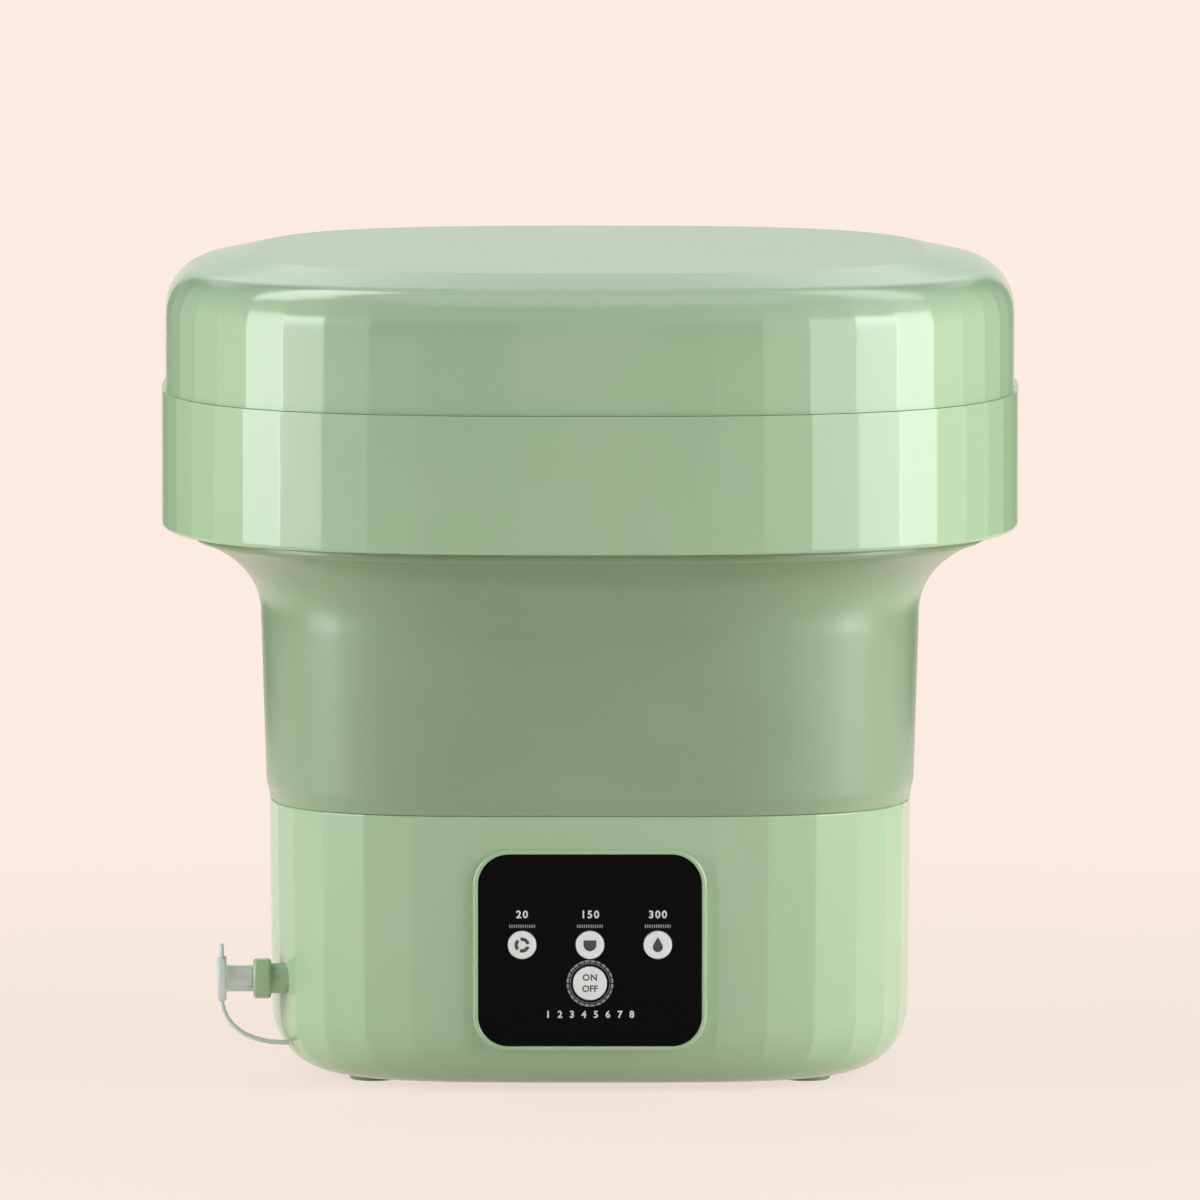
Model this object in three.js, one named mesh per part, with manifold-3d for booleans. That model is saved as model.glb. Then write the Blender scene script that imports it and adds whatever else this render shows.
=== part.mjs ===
// Folding mini washing machine, in millimetres with +Z up. The origin is on the floor under its middle,
// the control panel faces -Y and the drain leaves on the -X side. A hard faceted base holds the tub,
// the drive and the controls. A soft wall joins it to a wide collar, and a lid lifts off the collar.
import * as THREE from "three";
import { mergeVertices } from "three/addons/utils/BufferGeometryUtils.js";
import Module from "manifold-3d";

// Clearances, and how far a cutter runs past what it cuts
const gap = 0.3;
const slidePlay = 0.6;
const overrun = 2;

// Plan of the hard shells: rounded squares, with the power of the superellipse and the count of facets
const collarPower = 2.8;
const collarFacets = 58;
const basePower = 3.7;
const baseFacets = 44;
const circlePower = 2;
const planDivisions = 1200;
const roundSides = 16;
const smallSides = 8;
const hiddenSides = 12;
const screwSides = 6;
const leadSides = 6;
const hiddenArcSteps = 1;

// Heights of the four storeys, from the floor up
const undersideHeight = 2;
const baseHeight = 98;
const sleeveHeight = 97;
const collarHeight = 49.6;
const lidHeight = 48.6;

// Base shell
const baseHalf = 116;
const baseDraft = 0.9;
const baseWall = 2.6;
const baseFillet = 22;
const filletSteps = 3;
const undersideRim = 24;
const coverLedgeWidth = 5;
const coverLedgeThickness = 2.4;

// Bottom cover, its vents and its screws
const coverThickness = 2.3;
const ventLength = 34;
const ventWidth = 3;
const ventPitch = 9;
const ventRows = 4;
const coverBossRadius = 3.6;
const coverBossHeight = 8;
const coverHeadRadius = 2.8;
const coverHeadHeight = 1.2;
const coverShankRadius = 1.4;

// Feet
const footInset = 15.1;
const footStagger = 16;
const footRadius = 8.7;
const footChamfer = 0.7;
const footStemRadius = 2.5;
const footBarbRadius = 3.6;
const footBarbHeight = 2.4;

// Control panel and the raised rim round it
const panelWidth = 81.6;
const panelTopInset = 13.2;
const panelBottomInset = 15.2;
const panelCorner = 11.6;
const panelThickness = 2;
const panelRimWidth = 1.5;
const panelRimProud = 1;
const panelSink = 0.1;
const panelSeatThickness = 3.1;
const panelLedge = 5;

// Push buttons, their switches and the board
const modeButtonRadius = 5.05;
const startButtonRadius = 6.05;
const buttonInset = 16.5;
const modeRowRise = 2;
const startDrop = 13.8;
const buttonProud = 0.4;
const buttonTravel = 0.5;
const buttonFlangeWidth = 0.85;
const buttonFlangeThickness = 0.8;
const switchSize = 6;
const switchThickness = 2.9;
const boardSideMargin = 2.8;
const boardEndMargin = 4.8;
const boardThickness = 1.6;
const boardCorner = 3;
const boardPadRadius = 3;
const boardPadInset = 1.5;

// Wash tub
const tubClearance = 0.5;
const tubWall = 2;
const tubStep = 7;
const tubStepDrop = 10;
const tubDraft = 1.5;
const tubFillet = 10;
const tubFloorThickness = 2.4;
const tubFlangeWidth = 2.3;
const tubFlangeThickness = 2;
const tubLipHeight = 4.7;
const tubHubWall = 2.7;
const tubHubTopThickness = 2;

// Drive shaft, bearings and seal
const shaftRadius = 4;
const bearingRadius = 8;
const bearingHeight = 4.8;
const sealHeight = 4.4;
const hubWall = 1.9;
const hubLip = 1.5;
const shaftTopRise = 8.5;
const tappedDepth = 12;

// Gearbox, gears and its screws
const gearModule = 1.8;
const gearTeeth = 30;
const pinionTeeth = 10;
const pressureAngleDegrees = 20;
const toothPlay = 0.3;
const addendumShare = 0.92;
const dedendumShare = 1.2;
const gearWidth = 7;
const gearLift = 1.2;
const gearTipPlay = 6.5;
const gearboxWall = 2.4;
const eggSteps = 4;
const gearboxStandoff = 2.1;
const gearboxDepth = 12.6;
const earRadius = 4.6;
const earDegrees = [75, 180, 285];
const gearboxHeadRadius = 2.9;
const gearboxHeadHeight = 2;
const gearboxShankRadius = 1.6;

// Motor
const motorRadius = 17.5;
const motorLength = 36;
const motorNoseRadius = 5.2;
const motorEdge = 2;
const motorShaftRadius = 1.6;
const motorShaftBuried = 20;
const motorRoom = 1.6;

// Pulsator and its screw
const pulsatorRoom = 16.4;
const pulsatorLift = 2.6;
const pulsatorRim = 3;
const pulsatorWall = 3.2;
const pulsatorDome = 15;
const pulsatorSides = 30;
const vaneCount = 5;
const vaneHeight = 9;
const vaneSweepDegrees = 38;
const vaneLean = 1.3;
const pulsatorHubRadius = 8;
const capScrewHeadRadius = 5;
const capScrewHeadHeight = 2.4;
const capScrewShankRadius = 2;

// Drain: outlet in the tub floor, elbow, spout through the base, plug and tether
const drainFromFront = 48;
const drainDrop = 22.6;
const outletInset = 8.6;
const strainerRadius = 8;
const strainerThickness = 1.5;
const strainerHoleRadius = 1.2;
const strainerRingShare = 0.55;
const strainerHoleCount = 6;
const spigotRadius = 8;
const spigotLength = 8;
const elbowRadius = 6;
const elbowWall = 1.8;
const elbowBend = 12;
const elbowSteps = 8;
const neckRadius = 5.45;
const neckBoreRadius = 3.9;
const neckReach = 5;
const neckFlangeRadius = 8;
const neckFlangeThickness = 2.6;
const spoutPadRadius = 9.5;
const spoutPadSetBack = 8.4;
const ringRadius = 7.25;
const ringLength = 6.5;
const ringRoundShare = 0.9;
const ringSteps = 2;
const plugStemRadius = 4.7;
const plugTipRadius = 3.55;
const plugTipLength = 9;
const plugDiscRadius = 8.15;
const plugDiscThickness = 3.3;
const plugStemLength = 9.4;
const plugCollarRadius = 4.9;
const plugCollarLength = 1.6;
const tabLength = 12.6;
const tabWidth = 7;
const tabTipWidth = 4;
const tabThickness = 1.8;
const tetherWidth = 5;
const tetherThickness = 1.5;
const tetherHeight = 13.9;
const tetherSteps = 10;

// Power inlet at the back
const inletFromSide = 71;
const inletHeight = 30;
const inletRadius = 5.5;
const inletFlangeRadius = 7.6;
const inletFlangeThickness = 2;
const inletLength = 16;
const inletBoreRadius = 3.2;
const inletBoreDepth = 9.5;
const inletPinRadius = 1.05;
const inletNutRadius = 8.2;
const inletNutThickness = 2.6;
const inletSeatThickness = 2.1;

// Internal leads
const leadRadius = 1.7;
const leadStraight = 8.5;
const leadSwing = 9.5;
const leadPlay = 2.5;
const leadLift = 3;
const leadStepsPerPoint = 2;

// Soft folding wall
const sleeveWall = 2.2;
const sleeveFootProud = 1;
const sleeveProud = 3;
const flareHeight = 66;
const flareBend = 17.3;
const flareSteps = 3;
const sleeveLipDrop = 4.2;
const sleeveLipWidth = 1.9;
const sleeveLipThickness = 1.8;
const sleeveNeckPlay = 1.5;
const sleeveBead = 2.5;

// Collar
const collarHalf = 155;
const collarWall = 3.2;
const collarEdge = 1.2;
const collarShelfRise = 2;
const collarShelfThickness = 2.5;
const collarShelfWidth = 8.3;
const mouthWidth = 5.5;
const mouthThickness = 3;

// Ring that clamps the soft wall in the collar
const clampThickness = 2.8;
const clampWidth = 12;

// Lid
const lidStep = 1.4;
const lidWall = 2.6;
const shoulderRadius = 17;
const shoulderSteps = 3;
const plateauInset = 15.6;
const plateauRise = 3.5;
const lidRibDepth = 8;
const lidRibWall = 2;
const gasketHeight = 3.7;
const gasketPlay = 0.25;

// Colours and finishes
const plastic = (color, roughness) => new THREE.MeshStandardMaterial({ color, roughness, metalness: 0 });
const metal = (color, roughness) => new THREE.MeshStandardMaterial({ color, roughness, metalness: 1 });
const sageGloss = plastic("#b3ceae", 0.3);
const sageSoft = plastic("#9fb590", 0.55);
const blackGloss = plastic("#08090a", 0.12);
const whiteCap = plastic("#f2f3f2", 0.35);
const clearSilicone = plastic("#d5e2df", 0.4);
const greyRubber = plastic("#6f756f", 0.8);
const whiteNylon = plastic("#e8e6dc", 0.5);
const greenBoard = plastic("#20603a", 0.6);
const blackPlastic = plastic("#1b1c1d", 0.5);
const steel = metal("#b9bcc0", 0.3);
const darkSteel = metal("#7c7f84", 0.45);

// Places worked out from the sizes, storey by storey
const baseTop = undersideHeight + baseHeight;
const collarBottom = baseTop + sleeveHeight;
const collarTop = collarBottom + collarHeight;
const lidBottom = collarTop + gap;
const lidTop = lidBottom + lidHeight;
const motorBottom = undersideHeight + coverThickness + motorRoom;
const motorTop = motorBottom + motorLength;
const trayBottom = motorTop + gap;
const trayTop = trayBottom + gearboxDepth;
const coverUnder = trayTop + gap;
const coverTop = coverUnder + gearboxWall;
const tubUnder = coverTop + gearboxStandoff;
const tubFloor = tubUnder + tubFloorThickness;

// Shapes

const degree = Math.PI / 180;

// Plan of a rounded square one unit from axis to side, run from the middle of its front
class RoundedSquare extends THREE.Curve {
  constructor(power) {
    super();
    this.power = power;
    this.arcLengthDivisions = planDivisions;
  }
  getPoint(share) {
    const turn = 2 * Math.PI * share - Math.PI / 2;
    const [x, y] = [Math.cos(turn), Math.sin(turn)];
    const reach = (Math.abs(x) ** this.power + Math.abs(y) ** this.power) ** (-1 / this.power);
    return new THREE.Vector3(x * reach, y * reach, 0);
  }
}

// Corners of the plan at equal steps along it, with the middle of one facet at the front
const plans = new Map();
function cornersOf(power, count) {
  const key = `${power} ${count}`;
  if (!plans.has(key)) {
    const curve = new RoundedSquare(power);
    plans.set(key, Array.from({ length: count }, (_, k) => curve.getPointAt((k + 1 / 2) / count)));
  }
  return plans.get(key);
}

// Joins rings of corners into one closed skin. Each ring is [half width, height, power]; its height may
// be a function of the corner, a ring of no width is a point on the axis, and the last meets the first.
function loft(rings, count) {
  const places = [];
  const starts = rings.map(([half, height, power]) => {
    const start = places.length / 3;
    const corners = half ? cornersOf(power, count) : [new THREE.Vector3()];
    corners.forEach((corner) => {
      const z = typeof height === "function" ? height(corner) : height;
      places.push(half * corner.x, half * corner.y, z);
    });
    return start;
  });
  const at = (ring, k) => starts[ring] + (rings[ring][0] ? k % count : 0);
  const faces = [];
  rings.forEach((_, ring) => {
    const next = (ring + 1) % rings.length;
    for (let k = 0; k < count; k++) {
      const [a, b, c, d] = [at(ring, k), at(ring, k + 1), at(next, k + 1), at(next, k)];
      if (a !== b) faces.push(a, b, c);
      if (c !== d) faces.push(a, c, d);
    }
  });
  return new THREE.BufferGeometry()
    .setAttribute("position", new THREE.Float32BufferAttribute(places, 3))
    .setIndex(faces);
}

const planned = (power, points) => points.map(([half, height]) => [half, height, power]);

// Points of an arc in a profile, in degrees from straight out towards up
function arc(half, height, radius, from, to, steps) {
  return Array.from({ length: steps + 1 }, (_, i) => {
    const turn = (from + ((to - from) * i) / steps) * degree;
    return [half + radius * Math.cos(turn), height + radius * Math.sin(turn)];
  });
}

// Turns a profile of [radius, height] about the upright axis
function turned(profile, sides = roundSides) {
  const points = profile.map(([radius, height]) => new THREE.Vector2(radius, height));
  return new THREE.LatheGeometry(points, sides).rotateX(Math.PI / 2);
}

const disc = (radius, from, to, sides) =>
  turned([[0, from], [radius, from], [radius, to], [0, to]], sides);

function ring(inner, outer, from, to, sides = hiddenSides) {
  return turned([[inner, from], [outer, from], [outer, to], [inner, to], [inner, from]], sides);
}

function extruded(shape, from, to, curveSegments = 2) {
  const settings = { depth: to - from, bevelEnabled: false, curveSegments };
  return new THREE.ExtrudeGeometry(shape, settings).translate(0, 0, from);
}

// Rectangle with round corners, centred on the origin
function roundedShape(width, height, corner) {
  const [x, y] = [width / 2, height / 2];
  const shape = new THREE.Shape();
  shape.absarc(x - corner, corner - y, corner, -Math.PI / 2, 0);
  shape.absarc(x - corner, y - corner, corner, 0, Math.PI / 2);
  shape.absarc(corner - x, y - corner, corner, Math.PI / 2, Math.PI);
  shape.absarc(corner - x, corner - y, corner, Math.PI, 1.5 * Math.PI);
  shape.closePath();
  return shape;
}

// Outline round a large circle on the axis and a smaller one beside it, with their outer tangents
function eggShape(large, small, distance) {
  const lean = Math.acos((large - small) / distance);
  const shape = new THREE.Shape();
  shape.absarc(0, 0, large, lean, 2 * Math.PI - lean);
  shape.absarc(distance, 0, small, -lean, lean);
  shape.closePath();
  return shape;
}

// Joins and cuts of closed solids
const wasm = await Module();
wasm.setup();

function solid(geometry) {
  const bare = new THREE.BufferGeometry().setAttribute("position", geometry.getAttribute("position"));
  bare.setIndex(geometry.index);
  const merged = mergeVertices(bare);
  const triVerts = new Uint32Array(merged.index.array);
  const vertProperties = merged.attributes.position.array;
  return new wasm.Manifold(new wasm.Mesh({ numProp: 3, vertProperties, triVerts }));
}

function surface(made) {
  const { vertProperties, triVerts } = made.getMesh();
  return new THREE.BufferGeometry()
    .setAttribute("position", new THREE.BufferAttribute(vertProperties, 3))
    .setIndex(new THREE.BufferAttribute(triVerts, 1));
}

const joined = (...bodies) => surface(bodies.map(solid).reduce((all, one) => all.add(one)));
const cut = (body, ...tools) =>
  surface(tools.map(solid).reduce((rest, tool) => rest.subtract(tool), solid(body)));

// Groups of the machine, each of which moves or comes off as one
const machine = new THREE.Group();
const base = new THREE.Group();
const collar = new THREE.Group();
const lid = new THREE.Group();
machine.add(base, collar, lid);

function add(group, name, geometry, material) {
  const mesh = new THREE.Mesh(geometry, material);
  mesh.name = name;
  group.add(mesh);
  return mesh;
}

// Four places at the corners of a rectangle, front left first
function corners(across, along) {
  return [[-across, -along], [across, -along], [across, along], [-across, along]];
}

// A pan-head screw standing on its head, with its shank upwards from the seat at no height
function screw(headRadius, headHeight, shankRadius, length) {
  return turned([
    [0, -headHeight],
    [headRadius, -headHeight],
    [headRadius, 0],
    [shankRadius, 0],
    [shankRadius, length],
    [0, length],
  ], screwSides);
}

// Base shell: faceted sides with a slight draft, a large bottom fillet, and a stepped opening below

const filletHalf = baseHalf - baseDraft - baseFillet;
const filletTop = undersideHeight + baseFillet;
const baseInner = baseHalf - baseWall;
const coverOpeningHalf = filletHalf - undersideRim;
const ledgeHeight = undersideHeight + coverThickness + gap;
const ledgeTop = ledgeHeight + coverLedgeThickness;
const ledgeHalf = coverOpeningHalf - coverLedgeWidth;
const innerFillet = baseFillet - baseWall;
const innerFilletDegrees = Math.asin((filletTop - ledgeTop) / innerFillet) / degree;

const baseProfile = [
  [coverOpeningHalf, undersideHeight],
  ...arc(filletHalf, filletTop, baseFillet, -90, 0, filletSteps),
  [baseHalf, baseTop],
  [baseInner, baseTop],
  ...arc(filletHalf, filletTop, innerFillet, 0, -innerFilletDegrees, hiddenArcSteps),
  [ledgeHalf, ledgeTop],
  [ledgeHalf, ledgeHeight],
  [coverOpeningHalf, ledgeHeight],
];

// How far out the side of the base's plan lies, at a distance from its middle along the other axis
function sideOf(half, along) {
  return half * (1 - (Math.abs(along) / half) ** basePower) ** (1 / basePower);
}

// Half way across the ledge, on the diagonal, where the screws of the bottom cover go
const ledgeMiddle = (coverOpeningHalf + ledgeHalf) / 2;
const coverScrewAt = ledgeMiddle * 2 ** (-1 / basePower);
const coverScrewPlaces = corners(coverScrewAt, coverScrewAt);
const footAcross = filletHalf - footInset;
const footPlaces = corners(footAcross, footAcross - footStagger);

// The front and the sides are turned from lying flat to facing -Y, -X and +Y
const facingFront = (geometry) => geometry.rotateX(Math.PI / 2);
const facingLeft = (geometry) => geometry.rotateY(-Math.PI / 2);
const facingBack = (geometry) => geometry.rotateX(-Math.PI / 2);

const panelTop = baseTop - panelTopInset;
const panelBottom = undersideHeight + panelBottomInset;
const panelHeight = panelTop - panelBottom;
const panelCentreHeight = (panelTop + panelBottom) / 2;
const rimFace = baseHalf + panelRimProud;
const panelFace = rimFace - panelSink;
const panelBack = panelFace - panelThickness;
const pocketFace = panelBack - gap;
const seatFace = pocketFace - panelSeatThickness;
const rimWidth = panelWidth + 2 * (gap + panelRimWidth);
const rimHeight = panelHeight + 2 * (gap + panelRimWidth);
const windowWidth = panelWidth - 2 * panelLedge;
const windowHeight = panelHeight - 2 * panelLedge;
const buttonSpacing = panelWidth / 2 - buttonInset;
const boardWidth = panelWidth - 2 * boardSideMargin;
const boardHeight = panelHeight - 2 * boardEndMargin;
const atPanel = (geometry) => facingFront(geometry).translate(0, 0, panelCentreHeight);

const panelBoss = atPanel(extruded(
  roundedShape(rimWidth, rimHeight, panelCorner + gap + panelRimWidth), seatFace, rimFace));
const panelPocket = atPanel(extruded(
  roundedShape(panelWidth + 2 * gap, panelHeight + 2 * gap, panelCorner + gap),
  pocketFace, rimFace + overrun));
const panelWindow = atPanel(extruded(
  roundedShape(windowWidth, windowHeight, panelCorner / 2), seatFace - overrun, rimFace, 1));

// Stack behind the panel: button flange, switch, board and the pads that carry it
const buttonFace = panelFace + buttonProud;
const flangeFront = panelBack - gap;
const flangeBack = flangeFront - buttonFlangeThickness;
const switchFront = flangeBack - buttonTravel - gap;
const switchBack = switchFront - switchThickness;
const boardFront = switchBack - gap;
const boardBack = boardFront - boardThickness;

const padTop = seatFace + panelSeatThickness / 2;
const boardPads = corners(
  boardWidth / 2 - boardPadInset, boardHeight / 2 - boardPadInset,
).map(([x, y]) => atPanel(
  disc(boardPadRadius, boardFront + gap, padTop, smallSides).translate(x, y, 0)));

// Flat pad inside the shell that the spout's flange is drawn against
const drainAlong = drainFromFront - baseHalf;
const drainHeight = tubUnder - drainDrop;
const spoutPlace = (geometry) => facingLeft(geometry).translate(0, drainAlong, drainHeight);
const baseSideAtDrain = sideOf(baseHalf, drainAlong);
const spoutPadDepth = baseSideAtDrain - spoutPadSetBack;
const spoutPad = spoutPlace(disc(
  spoutPadRadius, spoutPadDepth, baseSideAtDrain - baseWall / 2, hiddenSides));
const spoutHole = spoutPlace(disc(
  neckRadius + gap, spoutPadDepth - overrun, baseHalf + overrun, hiddenSides));

const inletAcross = baseHalf - inletFromSide;
const inletPlace = (geometry) => facingBack(geometry).translate(inletAcross, 0, inletHeight);
const inletHole = inletPlace(disc(
  inletRadius + gap, baseInner - baseFillet, baseHalf + overrun, hiddenSides));
const inletSeat = sideOf(baseInner, inletAcross + inletNutRadius) - inletSeatThickness;
const inletPad = inletPlace(disc(inletNutRadius + gap, inletSeat, baseHalf, hiddenSides));

const bossTop = ledgeHeight + coverBossHeight;
const pilotEnd = bossTop - coverLedgeThickness / 2;
const screwPilot = coverShankRadius + gap;
const discsAt = (places, ...measures) => places.map(([x, y]) => disc(...measures).translate(x, y, 0));
const baseBody = joined(
  loft(planned(basePower, baseProfile), baseFacets),
  panelBoss, spoutPad, inletPad,
  ...discsAt(coverScrewPlaces, coverBossRadius, ledgeHeight, bossTop, screwSides),
);
const underneath = undersideHeight - overrun;
const baseShell = joined(
  cut(
    baseBody, panelPocket, panelWindow, spoutHole, inletHole,
    ...discsAt(coverScrewPlaces, screwPilot, undersideHeight, pilotEnd, screwSides),
    ...discsAt(footPlaces, footStemRadius + gap, underneath, ledgeTop + overrun, smallSides),
  ),
  ...boardPads,
);
add(base, "base_shell", baseShell, sageGloss);

// Bottom cover: a plate in the opening with rows of vents, counterbored for its four screws
const coverHalf = coverOpeningHalf - gap;
const vents = Array.from({ length: ventRows }, (_, row) => {
  const slot = roundedShape(ventLength, ventWidth, ventWidth / 2);
  const along = (row - (ventRows - 1) / 2) * ventPitch;
  const through = undersideHeight + coverThickness + overrun;
  return extruded(slot, undersideHeight - overrun, through, 1).translate(0, along, 0);
});
const coverPlate = loft(planned(basePower, [
  [0, undersideHeight],
  [coverHalf, undersideHeight],
  [coverHalf, undersideHeight + coverThickness],
  [0, undersideHeight + coverThickness],
]), baseFacets);
const headSeat = undersideHeight + coverHeadHeight + gap / 3;
const coverCutTop = undersideHeight + coverThickness + overrun;
add(base, "bottom_cover", cut(
  coverPlate, ...vents,
  ...discsAt(coverScrewPlaces, coverHeadRadius + gap, underneath, headSeat + gap, screwSides),
  ...discsAt(coverScrewPlaces, screwPilot, underneath, coverCutTop, screwSides),
), sageGloss);
coverScrewPlaces.forEach(([x, y], i) => {
  const coverScrew = screw(coverHeadRadius, coverHeadHeight, coverShankRadius, coverBossHeight);
  add(base, `cover_screw_${i + 1}`, coverScrew, steel).position.set(x, y, headSeat);
});

// Rubber feet, each pushed into the base by a barbed stem
const barbBottom = ledgeTop + gap;
const footProfile = [
  [0, 0],
  [footRadius - footChamfer, 0],
  [footRadius, undersideHeight - gap],
  [footStemRadius, undersideHeight - gap],
  [footStemRadius, barbBottom],
  [footBarbRadius, barbBottom],
  [0, barbBottom + footBarbHeight],
];
footPlaces.forEach(([x, y], i) => {
  add(base, `foot_${i + 1}`, turned(footProfile, hiddenSides), greyRubber).position.set(x, y, 0);
});

// Control panel with a hole for each button
const controls = new THREE.Group();
controls.rotation.x = Math.PI / 2;
controls.position.z = panelCentreHeight;
base.add(controls);

const buttons = [
  ["mode_button_1", -buttonSpacing, modeRowRise, modeButtonRadius],
  ["mode_button_2", 0, modeRowRise, modeButtonRadius],
  ["mode_button_3", buttonSpacing, modeRowRise, modeButtonRadius],
  ["start_button", 0, modeRowRise - startDrop, startButtonRadius],
];
const panelPlate = extruded(roundedShape(panelWidth, panelHeight, panelCorner), panelBack, panelFace);
const buttonHoles = buttons.map(([, x, y, radius]) =>
  disc(radius + gap, panelBack - overrun, panelFace + overrun, hiddenSides).translate(x, y, 0));
add(controls, "control_panel", cut(panelPlate, ...buttonHoles), blackGloss);

buttons.forEach(([name, x, y, radius], i) => {
  const cap = turned([
    [0, flangeBack],
    [radius + buttonFlangeWidth, flangeBack],
    [radius + buttonFlangeWidth, flangeFront],
    [radius, flangeFront],
    [radius, buttonFace],
    [0, buttonFace],
  ], hiddenSides);
  add(controls, name, cap, whiteCap).position.set(x, y, 0);
  const body = new THREE.BoxGeometry(switchSize, switchSize, switchThickness);
  add(controls, `tact_switch_${i + 1}`, body, blackPlastic)
    .position.set(x, y, (switchFront + switchBack) / 2);
});
add(controls, "control_board", extruded(
  roundedShape(boardWidth, boardHeight, boardCorner), boardBack, boardFront, 1), greenBoard);

// Wash tub: a pan that hangs by its flange on the base, with a round hub for the seal and bearing
const tubHalf = baseInner - tubClearance;
const tubInner = tubHalf - tubWall;
const tubBodyHalf = tubHalf - tubStep;
const tubFloorHalf = tubBodyHalf - tubDraft - tubFillet;
const flangeUnder = baseTop + gap;
const flangeTop = flangeUnder + tubFlangeThickness;
const tubTop = flangeTop + tubLipHeight;
const flangeHalf = tubHalf + tubFlangeWidth;
const hubBore = bearingRadius + hubWall + 2 * gap;
const hubOuter = hubBore + tubHubWall;
const upperBearingBottom = tubUnder - gap;
const upperHubTop = upperBearingBottom + bearingHeight + gap / 2;
const sealBottom = upperHubTop + gap;
const sealTop = sealBottom + sealHeight;
const hubTopUnder = sealTop + gap;
const hubTop = hubTopUnder + tubHubTopThickness;
const shaftHole = shaftRadius + hubWall;

const tubProfile = [
  [hubBore, tubUnder, circlePower],
  ...planned(basePower, [
    ...arc(tubFloorHalf, tubUnder + tubFillet, tubFillet, -90, 0, hiddenArcSteps),
    [tubBodyHalf, flangeUnder - tubStepDrop],
    [tubHalf, flangeUnder],
    [flangeHalf, flangeUnder],
    [flangeHalf, flangeTop],
    [tubHalf, flangeTop],
    [tubHalf, tubTop],
    [tubInner, tubTop],
    [tubInner, flangeUnder],
    [tubBodyHalf - tubWall, flangeUnder - tubStepDrop],
    ...arc(tubFloorHalf, tubFloor + tubFillet - tubWall, tubFillet - tubWall, 0, -90, hiddenArcSteps),
  ]),
  [hubBore, tubFloor, circlePower],
];
const tubHub = turned([
  [hubBore, tubUnder],
  [hubOuter, tubUnder],
  [hubOuter - tubHubTopThickness / 2, hubTop],
  [shaftHole, hubTop],
  [shaftHole, hubTopUnder],
  [hubBore, hubTopUnder],
  [hubBore, tubUnder],
]);

// Gear pair: module and teeth give the circles, and the distance between the shafts
const gearPitch = (gearModule * gearTeeth) / 2;
const pinionPitch = (gearModule * pinionTeeth) / 2;
const shaftDistance = gearPitch + pinionPitch;
const gearTip = gearPitch + gearModule * addendumShare;
const pinionTip = pinionPitch + gearModule * addendumShare;
const trayLarge = gearTip + gearTipPlay;
const motorEdgeRoom = motorRadius + gearboxHeadRadius + 2 * gap - earRadius / 2;
const traySmall = Math.max(pinionTip + gearTipPlay, motorEdgeRoom - gearboxWall);
const outerLarge = trayLarge + gearboxWall;
const outerSmall = traySmall + gearboxWall;
const earReach = outerLarge + earRadius / 2;
const earPlaces = [
  ...earDegrees.map((turn) => [earReach * Math.cos(turn * degree), earReach * Math.sin(turn * degree)]),
  [shaftDistance + outerSmall + earRadius / 2, 0],
];
const gearboxPilot = gearboxShankRadius + gap;
const tubBossBottom = coverTop + gap;
const pilotTop = tubUnder + tubFloorThickness / 2;

const spigotBottom = tubUnder - spigotLength;
const spigot = ring(elbowRadius + gap, spigotRadius, spigotBottom, tubUnder + tubFloorThickness / 2);
const outletHole = disc(elbowRadius + gap, tubUnder - overrun, tubFloor + overrun);
const outletAcross = -sideOf(tubFloorHalf - outletInset, drainAlong);
const outletAt = (geometry) => geometry.translate(outletAcross, drainAlong, 0);
const tubPan = loft(tubProfile, baseFacets);
add(base, "wash_tub", cut(
  joined(
    cut(tubPan, outletAt(outletHole)),
    tubHub,
    outletAt(spigot),
    ...discsAt(earPlaces, earRadius, tubBossBottom, pilotTop, screwSides),
  ),
  ...discsAt(earPlaces, gearboxPilot, tubBossBottom - overrun, tubUnder + gap, screwSides),
), sageGloss);

// Strainer: a flat disc with a ring of holes over the outlet, held by a short skirt
const strainerBottom = tubFloor + gap;
const strainerTop = strainerBottom + strainerThickness;
const strainerReach = elbowRadius * strainerRingShare;
const strainerHoles = Array.from({ length: strainerHoleCount }, (_, i) => {
  const turn = (i * 2 * Math.PI) / strainerHoleCount;
  return disc(strainerHoleRadius, strainerBottom - overrun, strainerTop + overrun, screwSides)
    .translate(strainerReach * Math.cos(turn), strainerReach * Math.sin(turn), 0);
});
const skirtInner = elbowRadius - strainerThickness / 2;
const strainerDisc = turned([
  [0, strainerBottom],
  [skirtInner, strainerBottom],
  [skirtInner, tubUnder + gap],
  [elbowRadius, tubUnder + gap],
  [elbowRadius, strainerBottom],
  [strainerRadius, strainerBottom],
  [strainerRadius - strainerThickness / 2, strainerTop],
  [0, strainerTop],
], hiddenSides);
add(base, "drain_strainer", outletAt(cut(strainerDisc, ...strainerHoles)), whiteNylon);

// Gearbox: a tray for the gears under a cover, both with ears for the four screws into the tub
const trayFloor = trayBottom + gearboxWall;
const lowerBearingTop = trayFloor - gearboxWall / 2;
const lowerBearingBottom = lowerBearingTop - bearingHeight;
const lowerHubBottom = lowerBearingBottom - gap - hubLip;
const hubRadius = bearingRadius + hubWall;
const bearingBore = bearingRadius + gap;

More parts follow.
